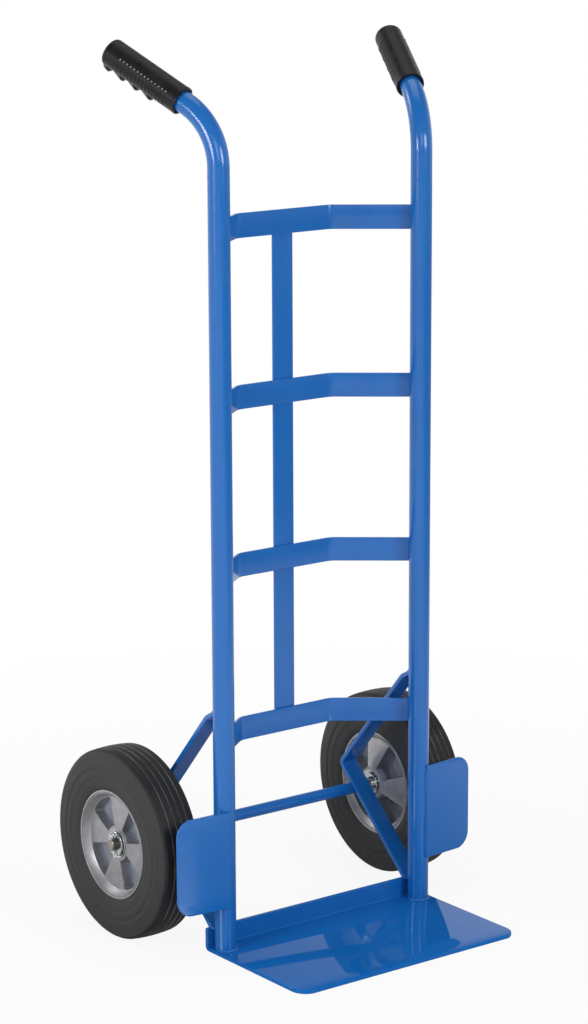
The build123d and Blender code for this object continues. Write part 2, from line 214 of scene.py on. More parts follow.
class WheelSizes(PropertyGroup):
    """The cast hubs and the solid tyres, measured from a wheel's middle plane and axis."""
    boss_radius: length("Boss radius", "Radius of the boss", 23)
    boss_out: length("Boss out", "Outer face of the boss and spokes", 17.5)
    boss_in: length("Boss in", "Inner face of the boss", 31.5)
    spoke_in: length("Spoke in", "Inner face of the spokes at the rim", 20)
    dish_radius: length("Dish radius", "Where the spokes meet the rim's cone", 62)
    web: length("Web", "Thickness of the web between the pockets", 5)
    lip_radius: length("Lip radius", "Outer radius of the rim's lip", 72.6)
    lip_width: length("Lip width", "Width of the rim's lip", 3)
    lip_out: length("Lip out", "Outer face of the rim's lip", 27.2)
    lip_in: length("Lip in", "Inner face of the rim's lip", 26.4)
    seat_radius: length("Seat radius", "Radius of the tyre's seat", 67)
    seat_width: length("Seat width", "Half the width of the tyre's seat", 23.5)
    spokes: setting(IntProperty, "Spokes", "Spokes on each face", 4)
    phase_left: turn("Left phase", "Angle of the left wheel's first spoke", 8)
    phase_right: turn("Right phase", "Angle of the right wheel's first spoke", 1)
    pocket_corner: length("Pocket corner", "Rounding of a pocket's corners", 3.5)
    pocket_wall: length("Pocket wall", "Width of a pocket's drafted wall", 1.6)
    tyre_half: length("Tyre half width", "Half the tyre's width", 30.5)
    tread_half: length("Tread half width", "Half the tread's width", 22)
    tread_crown: length("Tread crown", "How far the tread falls to its edges", 1.2)
    grooves: setting(IntProperty, "Grooves", "Grooves round the tread", 4)
    groove_pitch: length("Groove pitch", "Distance between grooves", 9.6)
    groove: length("Groove", "Width and depth of a groove", 0.9)
    # The groove lips carry a painted highlight in a lighter rubber; this is their width.
    groove_lip_highlight: length("Groove lip", "Width of the worn lips of a groove", 0.4)
    bead: length("Bead", "Where the sidewall meets the rim", 26)
    ring_inner: length("Ring inner", "Inner radius of the sidewall's raised ring", 91)
    ring_outer: length("Ring outer", "Outer radius of the sidewall's raised ring", 99)
    ring_height: length("Ring height", "Height of the sidewall's raised ring", 1.1)
    wall_fall: length("Wall fall", "How far the sidewall falls back to the shoulder", 1.5)
    shoulder_radius: length("Shoulder radius", "Where the sidewall turns into the shoulder", 114.5)


class HardwareSizes(PropertyGroup):
    """Axle, bearings, washers and split pins."""
    axle_radius: length("Axle radius", "Radius of the axle", 7.9375)
    chamfer: length("Chamfer", "Chamfer on turned edges", 0.5)
    paint_end: length("Paint end", "Where the axle's paint stops", 178)
    cup_radius: length("Cup radius", "Radius of a bearing cup's flange", 19.3)
    pin_wire: length("Pin wire", "Wire radius of a split pin", 0.9)
    pin_x: length("Pin place", "Split pin's distance from the middle", 243.2)
    pin_eye: length("Pin eye", "Half width of a split pin's eye", 3.4)
    pin_splay: length("Pin splay", "How far a split pin's legs are bent apart", 5)
    pin_leg: length("Pin leg", "How far a split pin's legs hang below the axis", 17)


class WeldSizes(PropertyGroup):
    """Weld beads under the paint."""
    radius: length("Bead radius", "Radius of a full weld bead", 2.2)
    ripple: length("Ripple", "Distance between a bead's ripples", 2.1)
    depth: share("Ripple depth", "How deep the ripples are", 0.2)
    stitch: length("Stitch", "Length of a stitch weld on a guard", 14)


class FinishColours(PropertyGroup):
    """Colours of the finishes."""
    paint: colour("Paint", "Blue powder paint", (0.008, 0.14, 0.482))
    paint_shade: colour("Paint shade", "Blue paint where it lies thicker", (0.007, 0.132, 0.462))
    rubber: colour("Rubber", "Tyre rubber", (0.026, 0.0265, 0.028))
    rubber_dry: colour("Dry rubber", "Rubber where the mould left it drier", (0.037, 0.0375, 0.039))
    # Painted shade: the tread gets a far darker rubber than the sidewall, standing in for the little light on
    # its front.
    tread: colour("Tread", "Darker rubber of the tread", (0.005, 0.0055, 0.0068))
    # Painted highlight: the groove lips are painted light to stand in for the light their edges catch.
    groove_lip_highlight: colour("Groove lip", "Dusty lips of the tread's grooves", (0.2, 0.2, 0.19))
    alloy: colour("Cast alloy", "Tumbled faces of the hub", (0.42, 0.42, 0.44))
    pocket: colour("Pocket", "Raw cast skin in the hub's pockets", (0.32, 0.35, 0.41))
    zinc: colour("Zinc", "Plated bearings and washers", (0.62, 0.64, 0.64))
    axle: colour("Axle", "Bare end of the axle", (0.2, 0.19, 0.18))
    axle_face: colour("Axle face", "Sawn end faces of the axle", (0.38, 0.35, 0.325))
    grip: colour("Grip", "Grip rubber", (0.009, 0.009, 0.01))
    # Painted highlight: the nubs' tips are painted light grey to stand in for the lamps' glint on them.
    nub: colour("Nub", "Rubbed tips of the grip's nubs", (0.3, 0.3, 0.31))


class StageSettings(PropertyGroup):
    """Camera, floor and lamps."""
    azimuth: turn("Azimuth", "Camera's direction round the truck", -37.212)
    pitch: turn("Pitch", "Camera's height above the horizon", 12.934)
    roll: turn("Roll", "Camera's roll", -0.177)
    distance: length("Distance", "Camera's distance from its target", 3982.14)
    target: setting(
        FloatVectorProperty, "Target", "Point that the camera turns about", (-0.02611, -0.0375, 0.53706),
        subtype="TRANSLATION",
    )
    lens: setting(FloatProperty, "Lens", "Focal length in millimetres", 109.286)
    shift_x: setting(FloatProperty, "Shift X", "Sideways shift of the frame", -0.01268)
    shift_y: setting(FloatProperty, "Shift Y", "Upward shift of the frame", 0.02048)
    floor: colour("Floor", "Pale floor", (0.82, 0.82, 0.82))
    world: share("World", "Strength of the light from all round", 0.4)
    room: share("Room", "How bright the room in front of the truck looks where it is mirrored", 0.4)
    ceiling: share("Ceiling", "How bright the ceiling looks where it is mirrored", 0.25)
    left_box: power("Left box", "Lamp to the left", 31)
    right_box: power("Right box", "Lamp to the right of the camera", 31)
    front_fill: power("Front fill", "Soft lamp beside the camera", 9)
    back_fill: power("Back fill", "Soft lamp behind the truck", 14)
    top: power("Top", "Lamp overhead", 14)


class HandTruckSettings(PropertyGroup):
    """All settings of the hand truck."""
    tubes: PointerProperty(type=TubeSizes)
    straps: PointerProperty(type=StrapSizes)
    plates: PointerProperty(type=PlateSizes)
    brackets: PointerProperty(type=BracketSizes)
    grips: PointerProperty(type=GripSizes)
    wheels: PointerProperty(type=WheelSizes)
    hardware: PointerProperty(type=HardwareSizes)
    welds: PointerProperty(type=WeldSizes)
    colours: PointerProperty(type=FinishColours)
    stage: PointerProperty(type=StageSettings)


# Curves and rings

def spread(start, stop, steps):
    """Evenly spaced values from start to stop."""
    return [start + (stop - start) * k / steps for k in range(steps + 1)]


def standing_line(place, low, high):
    """Upright line over a place, from one height to another."""
    return [Vector((place.x, place.y, z)) for z in (low, high)]


def rounded_path(corners, radii):
    """Points along straight runs joined by tangent arcs, one radius for each inner corner."""
    points = [corners[0]]
    for before, corner, after, radius in zip(corners, corners[1:], corners[2:], radii):
        towards, away = (before - corner).normalized(), (after - corner).normalized()
        bend = pi - towards.angle(away)
        leg = radius * tan(bend / 2)
        centre = corner + (towards + away).normalized() * radius / cos(bend / 2)
        start, stop = corner + towards * leg - centre, corner + away * leg - centre
        for part in spread(0, bend, max(3, ceil(bend / ARC_STEP))):
            points.append(centre + (start * sin(bend - part) + stop * sin(part)) / sin(bend))
    return points + [corners[-1]]


def distances(path):
    """Distance of each point from the start of a path."""
    run = [0.0]
    for here, there in zip(path, path[1:]):
        run.append(run[-1] + (there - here).length)
    return run


def along(path, run, distance):
    """Point at a distance from the start of a path."""
    for i in range(len(path) - 1):
        if distance <= run[i + 1] or i == len(path) - 2:
            return path[i].lerp(path[i + 1], (distance - run[i]) / max(run[i + 1] - run[i], 1e-9))


def tangents(path):
    """Direction of travel at each point of a path."""
    last = len(path) - 1
    return [(path[min(i + 1, last)] - path[max(i - 1, 0)]).normalized() for i in range(last + 1)]


def circle(count):
    """Evenly spaced angles round a full turn."""
    return [2 * pi * k / count for k in range(count)]


def hoop(centre, across, out, radius, count):
    """Round ring in the plane of two directions."""
    return [centre + (across * cos(a) + out * sin(a)) * radius for a in circle(count)]


def tube_rings(path, across, radius, count):
    """Round rings along a flat path; across is square to the plane of the path."""
    places = zip(path, tangents(path))
    return [hoop(point, across, ahead.cross(across), radius, count) for point, ahead in places]


def corner_cut(distance, radius):
    """How far a rounded corner draws in, at a distance from the end that it rounds."""
    if distance >= radius:
        return 0.0
    return radius - sqrt(max(radius ** 2 - (radius - distance) ** 2, 0.0))


def bar_section(low, high, half, edge):
    """Rounded rectangle from low to high across and half a thickness either way."""
    points = []
    centres = ((high, half, 0), (low, half, 1), (low, -half, 2), (high, -half, 3))
    for across, out, quarter in centres:
        inwards = Vector((edge if across == low else -edge, edge if out < 0 else -edge))
        for a in spread(quarter * QUARTER, (quarter + 1) * QUARTER, ROUND_STEPS):
            points.append((across + inwards.x + edge * cos(a), out + inwards.y + edge * sin(a)))
    return points


def bar_rings(path, across, span, thickness, edge, corners=None):
    """Rings of a flat bar. corners holds the plan radii at its start and end, low side first; without it
    the ends stay square."""
    run = distances(path)
    total = run[-1]
    stations = set(run)
    if corners:
        for radius in {edge, *corners[0], *corners[1]}:
            for a in spread(0, QUARTER, 2 * ROUND_STEPS):
                inset = radius * (1 - cos(a))
                stations.update((inset, total - inset))
    stations = sorted(stations)
    points = [along(path, run, d) for d in stations]
    rings = []
    for d, point, ahead in zip(stations, points, tangents(points)):
        out = ahead.cross(across)
        low, high, thin = span[0], span[1], 0.0
        if corners:
            thin = corner_cut(d, edge) + corner_cut(total - d, edge)
            low += max(thin, corner_cut(d, corners[0][0]), corner_cut(total - d, corners[1][0]))
            high -= max(thin, corner_cut(d, corners[0][1]), corner_cut(total - d, corners[1][1]))
        section = bar_section(low, high, thickness / 2 - thin, edge - thin)
        rings.append([point + across * u + out * w for u, w in section])
    return rings


def axle_ring(x, radius, angles):
    """Ring about the axle's line."""
    return [Vector((x, AXLE.y + radius * cos(a), AXLE.z + radius * sin(a))) for a in angles]


def around_axle(profile, count):
    """Rings about the axle's line through the points of a profile: (along the axle, radius)."""
    return [axle_ring(x, r, circle(count)) for x, r in profile]


def chamfered(start, stop, inner, outer, cut):
    """Profile of a turned ring, with both outer edges and both inner edges broken."""
    return [
        (start, inner + cut), (start, outer - cut), (start + cut, outer), (stop - cut, outer),
        (stop, outer - cut), (stop, inner + cut), (stop - cut, inner), (start + cut, inner),
    ]


class Shape:
    """Vertices and faces of one piece, gathered ring by ring."""

    def __init__(self):
        self.verts, self.faces, self.finishes = [], [], []

    def skin(self, rings, closed=False, finish=0):
        """Join rings of equal length with quads; open ends get flat caps."""
        first, count, total = len(self.verts), len(rings[0]), len(rings)
        for ring in rings:
            self.verts.extend(ring)
        for i in range(total if closed else total - 1):
            here, there = first + i * count, first + (i + 1) % total * count
            for k in range(count):
                after = (k + 1) % count
                self.faces.append((here + k, here + after, there + after, there + k))
                self.finishes.append(finish(i, k) if callable(finish) else finish)
        if not closed:
            last = first + (total - 1) * count
            self.faces.append(tuple(range(first, first + count)))
            self.faces.append(tuple(range(last, last + count)))
            self.finishes.extend((0, 0) if callable(finish) else (finish, finish))

    def build(self, name, body, finishes, replaces=(), crease=35):
        """Make the object, set it on its body and let it stand for CAD nodes."""
        mesh = bpy.data.meshes.new(name)
        mesh.from_pydata([tuple(v) for v in self.verts], [], self.faces)
        for material in finishes:
            mesh.materials.append(material)
        mesh.polygons.foreach_set("material_index", self.finishes)
        work = bmesh.new()
        work.from_mesh(mesh)
        bmesh.ops.remove_doubles(work, verts=work.verts, dist=1e-6)
        bmesh.ops.recalc_face_normals(work, faces=work.faces)
        work.to_mesh(mesh)
        work.free()
        mesh.shade_smooth()
        mesh.set_sharp_from_angle(angle=radians(crease))
        piece = bpy.data.objects.new(name, mesh)
        bpy.context.scene.collection.objects.link(piece)
        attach(piece, body)
        if replaces:
            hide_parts(*replaces)


def add_piece(rings, name, body, finishes, node, closed=False, finish=0, crease=35):
    """One skin as a piece that stands for a CAD node."""
    shape = Shape()
    shape.skin(rings, closed, finish)
    shape.build(name, body, finishes, [node], crease)


def add_painted(settings, rings, name, node):
    """A painted piece of the welded frame."""
    add_piece(rings, name, "frame", finishes_of(settings, frame_paint), node)


def add_plated(settings, rings, name, body, node, closed=True, crease=25):
    """A zinc-plated piece of the axle or of a bearing."""
    add_piece(rings, name, body, finishes_of(settings, zinc_plate), node, closed, crease=crease)


# Lines of the frame, shared by the pieces and their welds

def uprights_y(settings):
    """The uprights' plane."""
    return AXLE.y - settings.tubes.axle_back


def side_point(settings, side, back, up):
    """Point in the upright plane through one tube."""
    return Vector((side * UPRIGHT_X, uprights_y(settings) + back, up))


def handle_axes(settings, side):
    """Directions at one handle: out along it in plan, and square to its upright plane."""
    splay = settings.tubes.splay
    outwards = Vector((side * sin(splay), cos(splay), 0))
    return outwards, UP.cross(outwards)


def handle_line(settings, side):
    """Foot, bend corner and end of one tube."""
    tubes = settings.tubes
    outwards, _ = handle_axes(settings, side)
    foot = side_point(settings, side, 0, TOE_T)
    leg = tubes.bend_radius * tan(tubes.rake / 2)
    corner = side_point(settings, side, 0, tubes.bend_start + leg)
    ahead = outwards * sin(tubes.rake) + UP * cos(tubes.rake)
    return foot, corner, corner + ahead * (leg + tubes.straight)


def rung_line(settings, height):
    """Corners of a rung's centre line, left to right."""
    straps, y = settings.straps, uprights_y(settings)
    bow = y + straps.setback + straps.thickness / 2
    reach = UPRIGHT_X + straps.aim_out
    half = straps.flat / 2
    return [
        Vector((-reach, y + straps.aim_back, height)), Vector((-half, bow, height)),
        Vector((half, bow, height)), Vector((reach, y + straps.aim_back, height)),
    ]


def bracket_line(settings, side):
    """Corners of a bracket's centre line: foot, apex, knee and end in the tube."""
    bar, tubes = settings.brackets, settings.tubes
    arm = Vector((cos(bar.lower_arm), sin(bar.lower_arm)))
    square = Vector((-arm.y, arm.x))
    contact = Vector((tubes.axle_back, AXLE.z)) + square * (settings.hardware.axle_radius + bar.thickness / 2)
    apex = contact + arm * bar.apex
    foot = apex - arm * ((apex.y - HEEL_TOP) / arm.y)
    knee = Vector((bar.knee_back, apex.y + (apex.x - bar.knee_back) * tan(bar.upper_arm)))
    end = Vector((0, knee.y + bar.knee_rise))
    return [side_point(settings, side, p.x, p.y) for p in (foot, apex, knee, end)]


def guard_axes(settings, side):
    """A guard's inner edge on the tube, its outward direction and its front direction."""
    swing = settings.plates.guard_turn
    front = Vector((side * sin(swing), -cos(swing), 0))
    outwards = Vector((side * cos(swing), sin(swing), 0))
    edge = side_point(settings, side, 0, 0) + front * settings.tubes.radius
    return edge, outwards, front


# Finishes

def fill(tree, node, inputs):
    """Set a node's inputs to values, or link sockets to them."""
    for name, value in inputs.items():
        if isinstance(value, bpy.types.NodeSocket):
            tree.links.new(value, node.inputs[name])
        else:
            node.inputs[name].default_value = value


def add_node(tree, kind, inputs=None, output=0, **options):
    """Add a shader node, set its options, fill its inputs and return one of its outputs."""
    node = tree.nodes.new(kind)
    for name, value in options.items():
        setattr(node, name, value)
    fill(tree, node, inputs or {})
    return node.outputs[output]


def between(tree, factor, low, high, start=0.35, stop=0.65):
    """Spread a factor between two numbers."""
    inputs = {"Value": factor, "From Min": start, "From Max": stop, "To Min": low, "To Max": high}
    return add_node(tree, "ShaderNodeMapRange", inputs, "Result")


def maths(tree, operation, *values):
    return add_node(tree, "ShaderNodeMath", dict(enumerate(values)), "Value", operation=operation)


def vector_maths(tree, operation, *values):
    return add_node(tree, "ShaderNodeVectorMath", dict(enumerate(values)), "Value", operation=operation)


def tinted(tone, part):
    """A colour at a part of its brightness."""
    return tuple(part * c for c in tone)


class Finish:
    """A material in the making: two tones in soft patches, a range of roughness and a fine relief."""

    def __init__(self, name, **constants):
        self.material = bpy.data.materials.new(name)
        self.material.use_nodes = True
        self.tree = self.material.node_tree
        self.coords = add_node(self.tree, "ShaderNodeTexCoord", output="Object")
        self.put(**constants)

    def put(self, **inputs):
        """Fill the shader's inputs, given with underscores for spaces."""
        spaced = {name.replace("_", " "): value for name, value in inputs.items()}
        fill(self.tree, self.tree.nodes["Principled BSDF"], spaced)

    def cloud(self, scale, detail=2.0, rough=0.5, coords=None):
        """Soft noise of about the given number of patches a metre."""
        inputs = {"Vector": coords or self.coords, "Scale": scale, "Detail": detail, "Roughness": rough}
        return add_node(self.tree, "ShaderNodeTexNoise", inputs, "Fac")

    def tones(self, factor, low, high):
        """Spread a factor between two colours."""
        ramp = self.tree.nodes.new("ShaderNodeValToRGB")
        fill(self.tree, ramp, {"Fac": factor})
        for end, place, tone in zip(ramp.color_ramp.elements, (0.35, 0.65), (low, high)):
            end.position = place
            end.color = (*tone, 1)
        self.put(Base_Color=ramp.outputs["Color"])

    def rough(self, factor, low, high):
        self.put(Roughness=between(self.tree, factor, low, high))

    def relief(self, height, strength, depth):
        inputs = {"Height": height, "Strength": strength, "Distance": depth}
        self.put(Normal=add_node(self.tree, "ShaderNodeBump", inputs, "Normal"))


def paint_finish(colours, name, smooth, peel, shine):
    """Glossy blue powder paint: slight orange peel, and slight change of depth."""
    made = Finish(name, Specular_IOR_Level=shine)
    made.tones(made.cloud(11, 3), colours.paint_shade, colours.paint)
    made.rough(made.cloud(60, 2), smooth, smooth * 1.5)
    made.relief(made.cloud(380, 1.5), peel, 0.5 * MM)
    return made.material


def frame_paint(colours):
    return paint_finish(colours, "blue_powder_paint", 0.14, 0.0015, 0.52)


def plate_paint(colours):
    return paint_finish(colours, "blue_plate_paint", 0.03, 0.006, 0.1)


def rubber_finish(name, low, high, rough):
    """Matt solid rubber with a dry bloom and fine mould grain."""
    made = Finish(name, Specular_IOR_Level=0.36)
    bloom = made.cloud(26, 4, 0.6)
    made.tones(bloom, low, high)
    made.rough(bloom, rough, rough + 0.16)
    made.relief(made.cloud(1400, 2), 0.22, 0.25 * MM)
    return made.material


def tyre_rubber(colours):
    return rubber_finish("tyre_rubber", colours.rubber, colours.rubber_dry, 0.52)


# Painted shade: the same rubber made far darker on the tread, for the little light that reaches it.
def shaded_tread_rubber(colours):
    return rubber_finish("shaded_tread_rubber", colours.tread, tinted(colours.rubber, 0.6), 0.5)


# Painted highlight: lighter rubber on the groove lips for the light that their edges catch.
def groove_lip_highlight(colours):
    return rubber_finish("groove_lip_highlight", colours.rubber_dry, colours.groove_lip_highlight, 0.6)


def nub_glint_rubber(colours):
    """Tips of the nubs, painted lighter: a painted glint of the lamps on them."""
    return rubber_finish("nub_glint_rubber", tinted(colours.nub, 0.7), colours.nub, 0.25)


def alloy_finish(name, tone, metal, rough, grain_strength):
    """Cast aluminium: mottled tone, satin roughness and casting grain."""
    made = Finish(name, Metallic=metal)
    grain = made.cloud(1100, 3, 0.6)
    made.tones(made.cloud(90, 4, 0.65), tinted(tone, 0.82), tone)
    made.rough(grain, rough, rough + 0.14)
    made.relief(grain, grain_strength, 0.25 * MM)
    return made.material


def hub_alloy(colours):
    return alloy_finish("hub_alloy", colours.alloy, 0.9, 0.36, 0.12)


def pocket_alloy(colours):
    return alloy_finish("hub_pocket", colours.pocket, 0.2, 0.42, 0.2)


def zinc_plate(colours):
    """Bright zinc plate with faint passivation clouds."""
    made = Finish("zinc_plate", Metallic=1.0)
    clouds = made.cloud(180, 3, 0.6)
    made.tones(clouds, tinted(colours.zinc, 0.8), colours.zinc)
    made.rough(clouds, 0.16, 0.27)
    made.relief(made.cloud(2200, 1), 0.04, 0.1 * MM)
    return made.material


def steel_finish(name, tone):
    """Bare turned steel, slightly tanned, with fine marks round the rod."""
    made = Finish(name, Metallic=0.95)
    stretch = {"Vector": made.coords, "Scale": (1.0, 0.05, 0.05)}
    marks = made.cloud(1600, 2, coords=add_node(made.tree, "ShaderNodeMapping", stretch, "Vector"))
    made.tones(made.cloud(120, 3), tinted(tone, 0.72), tone)
    made.rough(marks, 0.3, 0.42)
    made.relief(marks, 0.1, 0.1 * MM)
    return made.material


def bare_axle(colours):
    return steel_finish("bare_axle", colours.axle)


def axle_face(colours):
    return steel_finish("axle_face", colours.axle_face)


def grip_rubber(colours):
    """Black moulded vinyl with a fine pebble."""
    made = Finish("grip_rubber", Specular_IOR_Level=0.18)
    sheen = made.cloud(70, 3)
    pebble = add_node(made.tree, "ShaderNodeTexVoronoi", {"Vector": made.coords, "Scale": 900.0}, "Distance")
    made.tones(sheen, colours.grip, tinted(colours.grip, 1.6))
    made.rough(sheen, 0.33, 0.43)
    made.relief(pebble, 0.1, 0.2 * MM)
    return made.material


def ball_steel(colours):
    """Polished bearing balls."""
    made = Finish("ball_steel", Metallic=1.0)
    film = made.cloud(300, 2)
    made.tones(film, (0.5, 0.5, 0.5), (0.62, 0.62, 0.61))
    made.rough(film, 0.08, 0.16)
    return made.material


FINISHES = {}


def finishes_of(settings, *makers):
    """Finishes, each made once and shared."""
    for make in makers:
        if make not in FINISHES:
            FINISHES[make] = make(settings.colours)
    return [FINISHES[make] for make in makers]


# Pieces

class HANDTRUCK_OT_stage(Operator):
    """Camera, pale floor, white surroundings and soft lamps."""
    bl_idname = "hand_truck.stage"
    bl_label = "Stage"

    def execute(self, context):
        stage = context.scene.hand_truck.stage
        context.scene.view_settings.view_transform = "Standard"
        self.add_camera(context.scene, stage)
        self.add_floor(context.scene, stage)
        self.light_world(context.scene, stage)
        self.add_lamps(context.scene, stage)
        return {"FINISHED"}

    def add_camera(self, scene, stage):
        """Camera at the given direction, height and distance from its target."""
        a, e = stage.azimuth, stage.pitch
        back = Vector((sin(a) * cos(e), -cos(a) * cos(e), sin(e)))
        right = Vector((cos(a), sin(a), 0))
        right = Matrix.Rotation(stage.roll, 3, back) @ right
        up = back.cross(right)
        data = bpy.data.cameras.new("camera")
        data.lens = stage.lens
        data.shift_x, data.shift_y = stage.shift_x, stage.shift_y
        camera = bpy.data.objects.new("camera", data)
        turned = Matrix((right, up, back)).transposed().to_4x4()
        camera.matrix_world = Matrix.Translation(Vector(stage.target) + back * stage.distance) @ turned
        scene.collection.objects.link(camera)
        scene.camera = camera

    def ray_kinds(self, tree):
        """The kinds of ray that the camera and the shaders send, and 1 for a ray that is mirrored."""
        path = tree.nodes.new("ShaderNodeLightPath").outputs
        return path, maths(tree, "MAXIMUM", path["Is Glossy Ray"], path["Is Transmission Ray"])

    def add_floor(self, scene, stage):
        """A wide disc, not part of the truck."""
        work = bmesh.new()
        bmesh.ops.create_circle(work, cap_ends=True, radius=FLOOR_RADIUS, segments=FLOOR_SIDES)
        mesh = bpy.data.meshes.new("floor")
        work.to_mesh(mesh)
        work.free()
        mesh.materials.append(self.floor_finish(stage))
        floor = bpy.data.objects.new("floor", mesh)
        scene.collection.objects.link(floor)

    def floor_finish(self, stage):
        """Fades to plain white away from the truck and keeps its shadow. Where it is mirrored it is white
        too, but dim under the truck and far to the right, and slightly polished."""
        material = bpy.data.materials.new("pale_floor")
        material.use_nodes = True
        tree = material.node_tree
        tree.nodes.remove(tree.nodes["Principled BSDF"])
        path, mirrored = self.ray_kinds(tree)
        place = add_node(tree, "ShaderNodeTexCoord", output="Object")
        radius = vector_maths(tree, "LENGTH", place)
        seen_white = between(tree, radius, 0.9, 1.0, 0.45, 1.5)
        far_white = between(tree, vector_maths(tree, "DOT_PRODUCT", place, DIM_SIDE), 1.0, 0.1, 0.9, 2.2)
        # Painted shadow: where the floor is mirrored, its glow is dimmed under the truck for the shade that
        # the truck casts there.
        mirrored_white = between(tree, radius, 0.25, far_white, 0.35, 1.0)
        whiteness = maths(tree, "MULTIPLY_ADD", path["Is Camera Ray"], seen_white, mirrored)
        strength = between(tree, mirrored, 1.0, mirrored_white, 0.0, 1.0)
        matt = add_node(tree, "ShaderNodeBsdfDiffuse", {"Color": (*stage.floor, 1)})
        white = add_node(tree, "ShaderNodeEmission", {"Color": (1, 1, 1, 1), "Strength": strength})
        mixed = add_node(tree, "ShaderNodeMixShader", {0: whiteness, 1: matt, 2: white})
        polish = add_node(tree, "ShaderNodeBsdfGlossy", {"Color": (0.2, 0.2, 0.2, 1), "Roughness": 0.08})
        polished = add_node(tree, "ShaderNodeAddShader", {0: mixed, 1: polish})
        surface = add_node(tree, "ShaderNodeMixShader", {0: path["Is Glossy Ray"], 1: mixed, 2: polished})
        tree.links.new(surface, tree.nodes["Material Output"].inputs["Surface"])
        return material

    def light_world(self, scene, stage):
        """White where it is seen. Where it is mirrored, white behind the truck, and dimmer in front of it and
        overhead. A plain soft light on the truck."""
        world = bpy.data.worlds.new("studio")
        world.use_nodes = True
        tree = world.node_tree
        path, mirrored = self.ray_kinds(tree)
        direction = add_node(tree, "ShaderNodeTexCoord", output="Generated")
        behind = vector_maths(tree, "DOT_PRODUCT", direction, BACKDROP_SIDE)
        height = add_node(tree, "ShaderNodeSeparateXYZ", {0: direction}, "Z")
        backdrop = between(tree, behind, stage.room, 1.0, -0.4, 0.2)
        surroundings = between(tree, height, backdrop, stage.ceiling, 0.32, 0.62)
        unseen = between(tree, mirrored, stage.world, surroundings, 0.0, 1.0)
        strength = between(tree, path["Is Camera Ray"], unseen, 1.0, 0.0, 1.0)
        fill(tree, tree.nodes["Background"], {"Color": (1, 1, 1, 1), "Strength": strength})
        scene.world = world

    def add_lamps(self, scene, stage):
        """Lamps to the left and in front, soft fills before and behind, and a wide lamp overhead."""
        aim = UP * 0.5
        low, high, soft, wide = (1.0, 0.6), (1.0, 0.9), (1.0, 1.0), (1.8, 1.8)
        lamps = {
            "left_box": (stage.left_box, (-2.98, -0.35, 1.12), low),
            "right_box": (stage.right_box, (0.4, -2.97, 1.45), high),
            "front_fill": (stage.front_fill, (-1.6, -2.6, 1.6), soft),
            "back_fill": (stage.back_fill, (-1.6, 2.4, 2.2), soft),
            "top_lamp": (stage.top, (0.3, 0.4, 3.2), wide),
        }
        for name, (energy, place, size) in lamps.items():
            data = bpy.data.lights.new(name, "AREA")
            data.energy = energy
            data.shape = "RECTANGLE"
            data.size, data.size_y = size
            lamp = bpy.data.objects.new(name, data)
            lamp.location = place
            lamp.rotation_euler = (aim - Vector(place)).to_track_quat("-Z", "Y").to_euler()
            scene.collection.objects.link(lamp)


class HANDTRUCK_OT_uprights(Operator):
    """Two bent tubes from the toe plate to the grips."""
    bl_idname = "hand_truck.uprights"
    bl_label = "Uprights"

    def execute(self, context):
        settings = context.scene.hand_truck
        for name, side in SIDES.items():
            _, across = handle_axes(settings, side)
            path = rounded_path(handle_line(settings, side), [settings.tubes.bend_radius])
            rings = tube_rings(path, across, settings.tubes.radius, TUBE_SIDES)
            add_painted(settings, rings, f"{name}_tube", f"{name}_upright")
        return {"FINISHED"}


